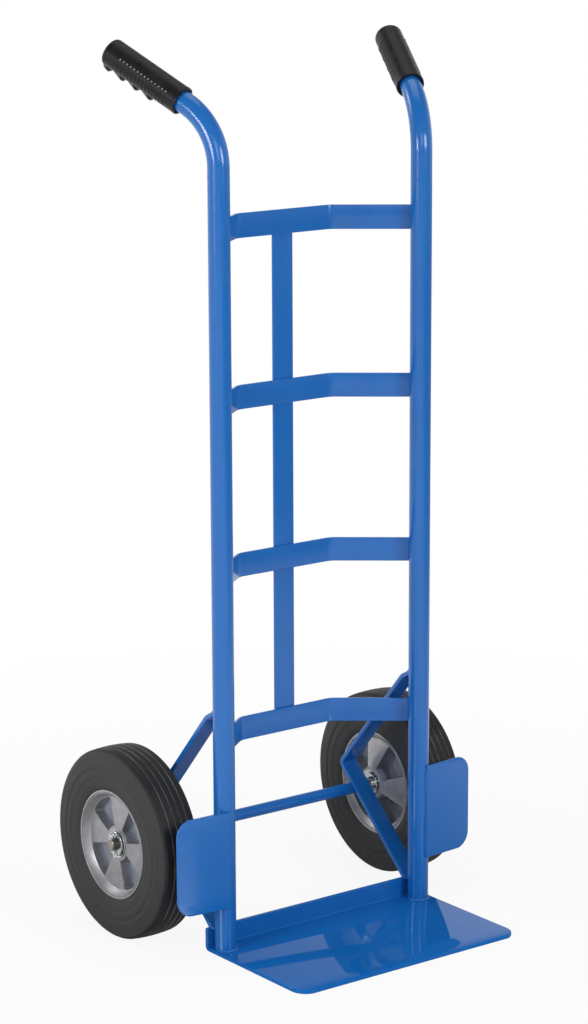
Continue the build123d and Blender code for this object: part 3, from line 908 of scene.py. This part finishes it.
class HANDTRUCK_OT_grips(Operator):
    """Moulded sleeves with finger ridges, ribbed flanks and a thick mouth."""
    bl_idname = "hand_truck.grips"
    bl_label = "Hand grips"

    def execute(self, context):
        settings = context.scene.hand_truck
        finishes = finishes_of(settings, grip_rubber, nub_glint_rubber)
        for name, side in SIDES.items():
            shape = Shape()
            axes = self.axes(settings, side)
            self.add_sleeve(shape, settings, axes)
            for hand in (-1, 1):
                self.add_ribs(shape, settings.grips, axes, hand, nubs=hand == -side)
            shape.build(f"{name}_hand_grip", "frame", finishes, [f"{name}_grip"], crease=50)
        return {"FINISHED"}

    def axes(self, settings, side):
        """Mouth, and the directions along the grip, down and to the flank, turned with the grip."""
        _, corner, end = handle_line(settings, side)
        ahead = (end - corner).normalized()
        _, flank = handle_axes(settings, side)
        down = ahead.cross(flank)
        if down.z > 0:
            down.negate()
        mouth = end - ahead * (settings.grips.length - settings.grips.cap)
        swing = settings.grips.left_turn if side < 0 else 0.0
        turned_down = down * cos(swing) - flank * sin(swing)
        turned_flank = flank * cos(swing) + down * sin(swing)
        return mouth, ahead, turned_down, turned_flank

    def ridge_radius(self, grip, t):
        """Radius of the finger ridges about their own axis: a gentle rise, a round crest and a steep fall."""
        level = grip.radius - grip.finger_drop
        crest_r, valley_r = level + grip.finger_height, level + grip.finger_keel
        rise = (crest_r - valley_r) / (grip.finger_pitch - grip.finger_fall)
        fall = (crest_r - valley_r) / grip.finger_fall
        round_off = CREST_ROUNDING * grip.finger_round
        crests = [grip.length - grip.finger_first - grip.finger_pitch * i for i in range(grip.fingers)]
        found = valley_r if t > crests[-1] else level - grip.finger_sink
        for crest in crests:
            slow, fast = crest_r - rise * (t - crest), crest_r + fall * (t - crest)
            found = max(found, (slow + fast - hypot(slow - fast, round_off)) / 2)
        return found - corner_cut(max(grip.length - grip.finger_end - t, 0), grip.finger_round)

    def radius_at(self, grip, t, a):
        """Radius of the sleeve at a distance from the mouth and an angle from straight down."""
        drop, blend, bead_round = grip.finger_drop, 0.6 * MM, 2 * MM
        body = grip.radius - corner_cut(grip.length - t, grip.end_round)
        lobe = 0.0
        if t <= grip.length - grip.finger_end and cos(a) > 0:
            reach = self.ridge_radius(grip, t) ** 2 - (drop * sin(a)) ** 2
            lobe = drop * cos(a) + sqrt(reach) if reach > 0 else 0.0
        radius = max(body, (body + lobe + hypot(body - lobe, blend)) / 2 - blend / 4)
        if t <= grip.bead_length:
            edge = min(t, grip.bead_length - t)
            radius = max(radius, grip.bead_radius - corner_cut(edge, bead_round))
        return radius

    def add_sleeve(self, shape, settings, axes):
        """Sleeve with its flared mouth, finger ridges and closed end."""
        grip = settings.grips
        mouth, ahead, down, flank = axes
        angles = circle(GRIP_SIDES)
        tube = settings.tubes.radius

        def ring(t, radius):
            spokes = [(a, radius(a)) for a in angles]
            return [mouth + ahead * t + (down * cos(a) + flank * sin(a)) * r for a, r in spokes]

        mouth_flare = ((5, 0), (2, 0.5), (0.5, 1.1), (0, 1.6))
        rings = [ring(t * MM, lambda a, flare=flare: tube + flare * MM) for t, flare in mouth_flare]
        end_face = grip.length - grip.finger_end
        at_end_face = (end_face - 0.1 * MM, end_face, end_face + 0.02 * MM)
        stations = sorted({*spread(0, grip.length, GRIP_STEPS), *at_end_face})
        rings += [ring(t, lambda a, t=t: self.radius_at(grip, t, a)) for t in stations]
        shape.skin(rings)

    def add_ribs(self, shape, grip, axes, hand, nubs):
        """Fine ribs round one flank; on the outer flank a small nub stands at each rib's upper end."""
        mouth, ahead, down, flank = axes
        rib_sink, nub_sink = 0.1 * MM, 0.2 * MM

        def spoke(lift):
            return flank * hand * cos(lift) - down * sin(lift)

        for i in range(grip.ribs):
            centre = mouth + ahead * (grip.rib_first + i * grip.rib_pitch)
            lifts = spread(grip.rib_above, -grip.rib_below, RIB_STEPS)
            path = [centre + spoke(lift) * (grip.radius - rib_sink) for lift in lifts]
            shape.skin(tube_rings(path, ahead, grip.rib_radius, RIB_SIDES))
            if nubs:
                out = spoke(grip.rib_above)
                self.add_nub(shape, grip, centre + out * (grip.radius - nub_sink), out, ahead)

    def add_nub(self, shape, grip, foot, out, ahead):
        """A small dome."""
        across, r = ahead.cross(out), grip.nub_radius
        rings = []
        for a in spread(0, DOME_END, NUB_STEPS):
            rings.append(hoop(foot + out * r * sin(a), ahead, across, r * cos(a), NUB_SIDES))
        # The dome's second finish is the painted glint, in light grey.
        shape.skin(rings, finish=1)


class HANDTRUCK_OT_rungs(Operator):
    """Four bowed strap rungs and the strap that ties their backs."""
    bl_idname = "hand_truck.rungs"
    bl_label = "Rungs"

    def execute(self, context):
        settings = context.scene.hand_truck
        straps = settings.straps
        span, edge = (-STRAP_H / 2, STRAP_H / 2), straps.edge
        for name in RUNGS:
            path = rounded_path(rung_line(settings, middle(name).z), [straps.bend_radius] * 2)
            add_painted(settings, bar_rings(path, UP, span, straps.thickness, edge), f"{name}_strap", name)
        low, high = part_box("centre_strap")
        centre = (low + high) / 2
        path = standing_line(centre, low.z, high.z)
        rings = bar_rings(path, RIGHT, span, straps.thickness, edge, ((edge, edge), (edge, edge)))
        add_painted(settings, rings, "tie_strap", "centre_strap")
        return {"FINISHED"}


class HANDTRUCK_OT_toe_plate(Operator):
    """Folded toe plate with rounded front corners."""
    bl_idname = "hand_truck.toe_plate"
    bl_label = "Toe plate"

    def execute(self, context):
        settings = context.scene.hand_truck
        plates, half = settings.plates, TOE_T / 2
        heel_y = uprights_y(settings) + settings.tubes.radius + plates.heel_gap + half
        corners = [Vector((0, TOE_FRONT, half)), Vector((0, heel_y, half)), Vector((0, heel_y, HEEL_TOP))]
        path = rounded_path(corners, [plates.heel_gap + half])
        rounding = ((plates.toe_corner,) * 2, (plates.heel_corner,) * 2)
        rings = bar_rings(path, RIGHT, (-TOE_W / 2, TOE_W / 2), TOE_T, plates.edge, rounding)
        add_piece(
            rings, "folded_toe_plate", "frame",
            finishes_of(settings, plate_paint, frame_paint), "toe_plate",
            finish=lambda i, k: int(rings[i][0].z > TOE_T),
        )
        return {"FINISHED"}


class HANDTRUCK_OT_wheel_guards(Operator):
    """Plates in front of the wheels, with rounded outer corners."""
    bl_idname = "hand_truck.wheel_guards"
    bl_label = "Wheel guards"

    def execute(self, context):
        settings = context.scene.hand_truck
        plates = settings.plates
        rounding = ((plates.edge, plates.guard_corner),) * 2
        for name, side in SIDES.items():
            low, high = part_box(f"{name}_wheel_guard")
            edge, outwards, front = guard_axes(settings, side)
            path = standing_line(edge + front * plates.guard_thickness / 2, low.z, high.z)
            span = (0, plates.guard_width)
            rings = bar_rings(path, outwards, span, plates.guard_thickness, plates.edge, rounding)
            add_painted(settings, rings, f"{name}_guard_plate", f"{name}_wheel_guard")
        return {"FINISHED"}


class HANDTRUCK_OT_axle_brackets(Operator):
    """Flat bars bent to a V that carry the axle."""
    bl_idname = "hand_truck.axle_brackets"
    bl_label = "Axle brackets"

    def execute(self, context):
        settings = context.scene.hand_truck
        bar = settings.brackets
        for name, side in SIDES.items():
            path = rounded_path(bracket_line(settings, side), [bar.bend_radius, bar.knee_radius])
            rings = bar_rings(path, RIGHT, (-BAR_W / 2, BAR_W / 2), bar.thickness, bar.edge)
            arm = (path[1] - path[0]).normalized()
            rings[0] = [p + arm * ((HEEL_TOP - p.z) / arm.z) for p in rings[0]]
            add_painted(settings, rings, f"{name}_bracket_bar", f"{name}_axle_bracket")
        return {"FINISHED"}


class HANDTRUCK_OT_axle(Operator):
    """Axle rod, spacers, washers and split pins."""
    bl_idname = "hand_truck.axle"
    bl_label = "Axle"

    def execute(self, context):
        settings = context.scene.hand_truck
        sizes = settings.hardware
        cut, radius = 1.2 * MM, sizes.axle_radius
        half = [(sizes.paint_end, radius), (AXLE_END - cut, radius), (AXLE_END, radius - cut)]
        shape = Shape()
        painted, bare, face = range(3)
        strips = (face, bare, painted, bare, face)
        profile = [(-x, r) for x, r in reversed(half)] + half
        shape.skin(around_axle(profile, AXLE_SIDES), finish=lambda i, k: strips[i])
        shape.finishes[-2:] = [face, face]
        finishes = finishes_of(settings, frame_paint, bare_axle, axle_face)
        shape.build("axle_rod", "frame", finishes, ["axle"])
        for name, side in SIDES.items():
            for ring in ("axle_spacer", "inner_washer", "outer_washer"):
                node = f"{name}_{ring}"
                low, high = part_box(node)
                profile = chamfered(low.x, high.x, radius, (high.z - low.z) / 2, sizes.chamfer)
                add_plated(settings, around_axle(profile, RING_SIDES), f"{node}_ring", "frame", node)
            self.add_pin(settings, name, side)
        return {"FINISHED"}

    def add_pin(self, settings, name, side):
        """One wire bent double: an eye above the axle and two splayed legs below it."""
        sizes = settings.hardware
        wire_r, eye, rod = sizes.pin_wire, sizes.pin_eye, sizes.axle_radius
        leg = wire_r + 0.05 * MM
        points = [
            (-sizes.pin_splay, -sizes.pin_leg), (-leg, -rod - 2 * wire_r), (-leg, rod + wire_r),
            (-eye, rod + eye + 2 * wire_r), (0, rod + 2 * eye + 2 * wire_r), (eye, rod + eye + 2 * wire_r),
            (leg, rod + wire_r), (leg, -rod - 2 * wire_r), (sizes.pin_splay, 2 * wire_r - sizes.pin_leg),
        ]
        corners = [Vector((side * sizes.pin_x, AXLE.y + y, AXLE.z + z)) for y, z in points]
        path = rounded_path(corners, [1.4 * MM] * (len(corners) - 2))
        rings = tube_rings(path, RIGHT, wire_r, PIN_SIDES)
        add_plated(settings, rings, f"{name}_cotter", "frame", f"{name}_split_pin", closed=False, crease=35)


class HANDTRUCK_OT_tyres(Operator):
    """Solid tyres with a grooved tread and stepped sidewalls."""
    bl_idname = "hand_truck.tyres"
    bl_label = "Tyres"

    def execute(self, context):
        settings = context.scene.hand_truck
        wheel = settings.wheels
        finishes = finishes_of(settings, tyre_rubber, shaded_tread_rubber, groove_lip_highlight)
        profile = self.profile(wheel)
        tread_start = wheel.shoulder_radius + 7 * MM

        # Tread faces take the darker tread rubber, a painted shade; the narrow groove lips take the painted
        # highlight.
        def strip_finish(i, k):
            (s, r), (s_next, r_next) = profile[i], profile[(i + 1) % len(profile)]
            if min(r, r_next) < tread_start:
                return 0
            return 2 if hypot(s - s_next, r - r_next) < 1.5 * wheel.groove_lip_highlight else 1

        for name, side in SIDES.items():
            rings = around_axle([(side * (WHEEL_X + s), r) for s, r in profile], TYRE_SIDES)
            add_piece(
                rings, f"{name}_solid_tyre", f"{name}_wheel", finishes, f"{name}_tyre",
                closed=True, finish=strip_finish, crease=28,
            )
        return {"FINISHED"}

    def profile(self, wheel):
        """Closed outline of the tyre's section: (outwards, radius)."""
        half = self.sidewall(wheel) + self.shoulder(wheel) + self.tread(wheel)
        return half + [(-s, r) for s, r in reversed(half)]

    def sidewall(self, wheel):
        """From the seat over the bead, up a shallow cone, over the raised ring and out to the shoulder."""
        wide, rise, rim = wheel.tyre_half, wheel.ring_height, wheel.lip_radius
        cone_width = wide - rise - wheel.bead
        cone = ((0.4, 3.4), (0.72, 6.4), (0.92, 9.4), (1, 12.4))
        step_up = ((1, -2.4), (0.75, -1), (0.28, 0.2), (0.1, 1.4), (0, 3.4))
        groove = ((0.05, -2), (0.3, -0.4), (0.68, 0.8), (0.82, 2), (0.68, 3), (0.25, 4), (0, 5.2), (0, 6.4))
        fall = ((0.25, 9), (0.6, 12))
        points = [
            (wheel.seat_width, wheel.seat_radius), (wheel.seat_width, rim),
            (wheel.bead - 0.6 * MM, rim), (wheel.bead, rim + 0.6 * MM),
        ]
        points += [(wheel.bead + part * cone_width, rim + up * MM) for part, up in cone]
        points += [(wide - part * rise, wheel.ring_inner + up * MM) for part, up in step_up]
        points += [(wide - part * rise, wheel.ring_outer + up * MM) for part, up in groove]
        return points + [(wide - part * wheel.wall_fall, wheel.ring_outer + up * MM) for part, up in fall]

    def shoulder(self, wheel):
        """Quarter round from the sidewall to the tread's edge."""
        edge = WHEEL_R - wheel.tread_crown
        wide = wheel.tyre_half - wheel.wall_fall - wheel.tread_half
        deep = edge - wheel.shoulder_radius
        turns = spread(0, QUARTER, SHOULDER_STEPS)
        return [(wheel.tread_half + wide * cos(a), wheel.shoulder_radius + deep * sin(a)) for a in turns]

    def tread(self, wheel):
        """Crowned tread from its edge to the middle, with grooves."""
        lip, half, deep = wheel.groove_lip_highlight, wheel.groove / 2, wheel.groove
        groove = ((half + lip, 0), (half, lip), (half * 0.8, deep))
        groove += tuple((-s, d) for s, d in reversed(groove))
        points = []
        for i in reversed(range(wheel.grooves)):
            m = (i - (wheel.grooves - 1) / 2) * wheel.groove_pitch
            if m > 0:
                crown = WHEEL_R - wheel.tread_crown * (m / wheel.tread_half) ** 2
                points += [(m + s, crown - d) for s, d in groove]
        return points + [(1 * MM, WHEEL_R)]


class HANDTRUCK_OT_hubs(Operator):
    """Cast hubs with four broad spokes between drafted pockets on each face."""
    bl_idname = "hand_truck.hubs"
    bl_label = "Hubs"

    def execute(self, context):
        settings = context.scene.hand_truck
        wheel = settings.wheels
        finishes = finishes_of(settings, hub_alloy, pocket_alloy)
        outline = self.outline(wheel)
        total = len(outline)
        phases = {"left": wheel.phase_left, "right": wheel.phase_right}
        for name, side in SIDES.items():
            angles = self.angles(wheel, phases[name])
            count = len(angles)
            rings, depths = [], []
            for s, r, face in outline:
                depth = [self.pocket(wheel, phases[name], r, a) if face else 0.0 for a in angles]
                floor = face * wheel.web / 2
                spots = axle_ring(side * WHEEL_X, r, angles)
                rings.append([p + RIGHT * side * (s + (floor - s) * d) for p, d in zip(spots, depth)])
                depths.append(depth)

            def skin_of(i, k):
                around = (depths[i][k], depths[i][(k + 1) % count], depths[(i + 1) % total][k])
                _, r, face = outline[i]
                raw_boss = face < 0 and r < wheel.boss_radius + 1 * MM
                return 1 if raw_boss or min(around) > RAW_DEPTH else 0

            add_piece(
                rings, f"{name}_cast_hub", f"{name}_wheel", finishes, f"{name}_hub",
                closed=True, finish=skin_of, crease=40,
            )
        return {"FINISHED"}

    def angles(self, wheel, phase):
        """Angles round the hub, close together at the spokes' edges."""
        pocket = pi / wheel.spokes
        fine, coarse, width = 12, 18, radians(2.2)
        made = []
        for i in range(2 * wheel.spokes):
            edge = phase - pocket / 2 + i * pocket
            made += spread(edge - width, edge + width, fine)[:-1]
            made += spread(edge + width, edge + pocket - width, coarse)[:-1]
        return made

    def pocket(self, wheel, phase, radius, angle):
        """How far down a pocket's wall a point lies, from 0 on a spoke to 1 on the floor."""
        pitch = 2 * pi / wheel.spokes
        off = (angle - phase) % pitch - pitch / 2
        sides = (pitch / 4 - abs(off)) * radius
        margin = 1 * MM
        near = radius - wheel.boss_radius - margin
        far = wheel.dish_radius - margin - radius
        ends = min(near, far)
        soft = wheel.pocket_corner
        inside = min(sides, ends)
        if sides < soft and far < soft and min(sides, far) > -soft:
            corner = hypot(soft - sides, soft - far)
            inside = min(inside, soft - corner)
        share_down = min(max(inside / wheel.pocket_wall + 0.5, 0), 1)
        return share_down * share_down * (3 - 2 * share_down)

    def outline(self, wheel):
        """Closed outline of the hub's section: (outwards, radius, face with pockets or 0)."""
        bore, bevel = 17.45 * MM, 0.4 * MM
        near, far = wheel.boss_radius, wheel.dish_radius
        at_boss = (0.2, 0.5, 0.8, 1.0, 1.2, 1.5, 1.9)
        at_rim = (4.4, 3.8, 3.2, 2.6, 2.1, 1.8, 1.5, 1.2, 1.0, 0.8, 0.5, 0.2)
        radii = [near + k * MM for k in at_boss]
        radii += spread(near + 2.6 * MM, far - 5.6 * MM, 9)
        radii += [far - k * MM for k in at_rim]
        out, back = wheel.boss_out, -wheel.boss_in
        outer = [(out - bevel, bore, 1), (out, bore + bevel, 1)] + [(out, r, 1) for r in radii]
        inner = [(back + bevel, bore, -1), (back, bore + bevel, -1)]
        inner += [(back, near - 1 * MM, -1), (back + bevel, near - 0.2 * MM, -1)]
        slope = (wheel.boss_in - wheel.spoke_in) / (far - near)
        inner += [(back + slope * (r - near), r, -1) for r in radii]
        outer += self.rim(wheel, out, wheel.lip_out, 1)
        inner += self.rim(wheel, -wheel.spoke_in, -wheel.lip_in, -1)
        seat = [(wheel.seat_width, r, 0) for r in (wheel.lip_radius, wheel.seat_radius)]
        seat += [(-s, r, 0) for s, r, _ in reversed(seat)]
        return outer + seat + inner[::-1]

    def rim(self, wheel, start, lip, facing):
        """From the dish up the cone, over a groove and round the lip."""
        far, edge = wheel.dish_radius, wheel.lip_radius
        groove = (
            (1.3, -2.1), (0.8, -1.7), (0.8, -1.1), (1.6, -0.8), (1.6, -0.1), (0.5, 0), (0.1, 0.4), (0, 0.9),
        )
        rounding = ((0, -0.9), (0.2, -0.3), (0.7, 0))
        points = [(start, far, 0), (start + 0.25 * MM * facing, far + 0.5 * MM, 0)]
        for base, steps in ((edge - wheel.lip_width, groove), (edge, rounding)):
            points += [(lip - deep * MM * facing, base + up * MM, 0) for deep, up in steps]
        return points


class HANDTRUCK_OT_bearings(Operator):
    """Flanged bearing cups, their sleeves and the balls."""
    bl_idname = "hand_truck.bearings"
    bl_label = "Bearings"

    def execute(self, context):
        settings = context.scene.hand_truck
        steel = finishes_of(settings, ball_steel)[0]
        for name, side in SIDES.items():
            for end, facing in (("outer", 1), ("inner", -1)):
                bearing = f"{name}_{end}_bearing"
                self.add_cup(settings, f"{bearing}_cup", f"{name}_wheel", side * facing)
                self.add_sleeve(settings, f"{bearing}_sleeve")
                balls = frame["nodes"][f"{bearing}_balls"].data.materials
                balls.clear()
                balls.append(steel)
        return {"FINISHED"}

    def add_cup(self, settings, node, body, out):
        """Pressed cup: a flange with a rolled rim, and a race that the balls run in."""
        low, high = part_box(node)
        face, end = high.x if out > 0 else low.x, high.x - low.x
        flange, seat, land = settings.hardware.cup_radius, 17.4 * MM, 13.95 * MM
        mouth = ((0.5, 0), (0, 0.5), (0.25, 1.3))
        rim = ((0.25, -1.6), (0, -1.1), (0, -0.6), (0.2, -0.2), (0.6, 0), (1.4, 0), (1.6, -0.2))
        profile = [(deep * MM, land + up * MM) for deep, up in mouth]
        profile += [(deep * MM, flange + up * MM) for deep, up in rim]
        profile += [(1.6 * MM, seat), (end - 0.4 * MM, seat), (end, seat - 0.4 * MM), (end, land)]
        rings = around_axle([(face - out * deep, r) for deep, r in profile], CUP_SIDES)
        add_plated(settings, rings, f"{node}_shell", body, node, crease=30)

    def add_sleeve(self, settings, node):
        """Ring on the axle that the balls run round."""
        low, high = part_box(node)
        profile = chamfered(low.x, high.x, settings.hardware.axle_radius, 10.95 * MM, 0.3 * MM)
        add_plated(settings, around_axle(profile, RING_SIDES), f"{node}_race", "frame", node)


class HANDTRUCK_OT_welds(Operator):
    """Painted weld beads at every joint of the frame."""
    bl_idname = "hand_truck.welds"
    bl_label = "Welds"

    def execute(self, context):
        settings = context.scene.hand_truck
        groups = {
            "weld_tube_feet": self.feet, "weld_rung_ends": self.rung_ends, "weld_tie_strap": self.tie_strap,
            "weld_guards": self.guards, "weld_brackets": self.brackets,
        }
        for seed, (name, lines) in enumerate(groups.items()):
            draw = random.Random(seed)
            shape = Shape()
            for points, radius in lines(settings):
                self.add_bead(shape, settings.welds, points, radius, draw)
            shape.build(name, "frame", finishes_of(settings, frame_paint), crease=60)
        return {"FINISHED"}

    def add_bead(self, shape, weld, points, radius, draw):
        """Rippled bead along a seam, thin at both ends."""
        run = distances(points)
        total = run[-1]
        stations = spread(0, total, max(8, round(total / BEAD_STEP)))
        path = [along(points, run, d) for d in stations]
        side = None
        offset = draw.uniform(0, 100)
        rings = []
        for d, point, ahead in zip(stations, path, tangents(path)):
            if side is None:
                side = ahead.orthogonal().normalized()
            side = (side - ahead * side.dot(ahead)).normalized()
            out = ahead.cross(side)
            beat = d / weld.ripple
            ripple = abs(sin(pi * (beat + 0.6 * noise.noise((offset, beat, 0)))))
            swell = 1 - weld.depth * (1 - ripple) + 0.16 * noise.noise((d / (6 * MM), offset, 1))
            taper = sqrt(min(1, (min(d, total - d) + 0.05 * MM) / radius))
            rings.append(hoop(point, side, out, radius * swell * taper, BEAD_SIDES))
        shape.skin(rings)

    def feet(self, settings):
        """Round the front of each tube where it stands on the plate."""
        tube, bead = settings.tubes.radius, settings.welds.radius
        for side in SIDES.values():
            centre = side_point(settings, side, 0, TOE_T + 0.2 * MM)
            turns = spread(radians(170), radians(370), 72)
            yield [centre + Vector((cos(a), sin(a), 0)) * (tube + 0.3 * MM) for a in turns], bead

    def rung_ends(self, settings):
        """Up both faces of each rung where it meets the back of a tube."""
        straps, tube = settings.straps, settings.tubes.radius
        for name in RUNGS:
            line = rung_line(settings, middle(name).z)
            for side, start, stop in ((-1, line[1], line[0]), (1, line[2], line[3])):
                ahead = (stop - start).normalized()
                square = Vector((-ahead.y, ahead.x, 0))
                axis = side_point(settings, side, 0, start.z)
                for face in (-1, 1):
                    edge = start + square * face * straps.thickness / 2 - axis
                    flat = edge.dot(ahead)
                    reach = -flat - sqrt(flat ** 2 - edge.length_squared + tube ** 2)
                    seam = axis + edge + ahead * reach
                    rise = UP * (STRAP_H / 2 - 0.5 * MM)
                    yield [seam - rise, seam + rise], 0.75 * settings.welds.radius

    def tie_strap(self, settings):
        """Up both edges of the tie strap where it crosses each rung."""
        low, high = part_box("centre_strap")
        for name in RUNGS:
            z = middle(name).z
            bottom = max(low.z, z - STRAP_H / 2) + 4 * MM
            top = min(high.z, z + STRAP_H / 2) - 4 * MM
            for x in (low.x, high.x):
                yield standing_line(Vector((x, low.y)), bottom, top), 0.7 * settings.welds.radius

    def guards(self, settings):
        """Stitches where each guard's inner edge lies on the tube, and a full bead behind it."""
        weld = settings.welds
        for name, side in SIDES.items():
            low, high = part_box(f"{name}_wheel_guard")
            edge, outwards, front = guard_axes(settings, side)
            seam = edge + front * 0.6 * MM - outwards * 0.4 * MM
            yield standing_line(seam, low.z + 3 * MM, high.z - 3 * MM), 0.4 * weld.radius
            for start in (low.z + 9 * MM, high.z - 9 * MM - weld.stitch):
                yield standing_line(seam, start, start + weld.stitch), 0.6 * weld.radius
            behind = edge + outwards * 6.5 * MM - front * 1.2 * MM
            yield standing_line(behind, low.z + 12 * MM, high.z - 12 * MM), weld.radius

    def brackets(self, settings):
        """Across the bar at the tube, on the heel and along the axle."""
        bar, tube, bead = settings.brackets, settings.tubes.radius, settings.welds.radius
        rod, half = settings.hardware.axle_radius, BAR_W / 2 - 1 * MM
        for side in SIDES.values():
            middle_x = side * UPRIGHT_X
            foot, apex, knee, end = bracket_line(settings, side)
            slope = (end.z - knee.z) / (end.y - knee.y)
            for face in (-1, 1):
                points = []
                for x in spread(-half, half, 24):
                    y = sqrt(tube ** 2 - x ** 2)
                    z = end.z + slope * y + face * (bar.thickness / 2 + 0.2 * MM)
                    points.append(Vector((middle_x + x, end.y + y, z)))
                yield points, 0.6 * bead
            arm = (apex - foot).normalized()
            for face in (-1, 1):
                y = foot.y + face * (bar.thickness / 2) / arm.z
                yield [Vector((middle_x + x, y, HEEL_TOP)) for x in (-half, half)], 0.75 * bead
            square = Vector((0, -arm.z, arm.y))
            for face in (-1, 1):
                swing = (square + arm * face * 0.75).normalized()
                seam = Vector((0, AXLE.y, AXLE.z)) + swing * (rod + 0.9 * MM)
                yield [Vector((middle_x + x, seam.y, seam.z)) for x in (-half, half)], 0.9 * bead


PIECES = (
    HANDTRUCK_OT_stage, HANDTRUCK_OT_uprights, HANDTRUCK_OT_grips, HANDTRUCK_OT_rungs, HANDTRUCK_OT_toe_plate,
    HANDTRUCK_OT_wheel_guards, HANDTRUCK_OT_axle_brackets, HANDTRUCK_OT_axle, HANDTRUCK_OT_tyres,
    HANDTRUCK_OT_hubs, HANDTRUCK_OT_bearings, HANDTRUCK_OT_welds,
)


class HANDTRUCK_PT_pieces(Panel):
    """Lists the operators in the sidebar."""
    bl_idname = "HANDTRUCK_PT_pieces"
    bl_label = "Hand truck"
    bl_space_type = "VIEW_3D"
    bl_region_type = "UI"
    bl_category = "Hand truck"

    def draw(self, context):
        for piece in PIECES:
            self.layout.operator(piece.bl_idname)


CLASSES = (
    TubeSizes, StrapSizes, PlateSizes, BracketSizes, GripSizes, WheelSizes, HardwareSizes, WeldSizes,
    FinishColours, StageSettings, HandTruckSettings, *PIECES, HANDTRUCK_PT_pieces,
)


def register():
    for made in CLASSES:
        bpy.utils.register_class(made)
    bpy.types.Scene.hand_truck = PointerProperty(type=HandTruckSettings)


def unregister():
    del bpy.types.Scene.hand_truck
    for made in reversed(CLASSES):
        bpy.utils.unregister_class(made)


def main():
    """Register and build every piece in order."""
    register()
    for piece in PIECES:
        group, name = piece.bl_idname.split(".")
        getattr(getattr(bpy.ops, group), name)()


if __name__ == "__main__":
    main()
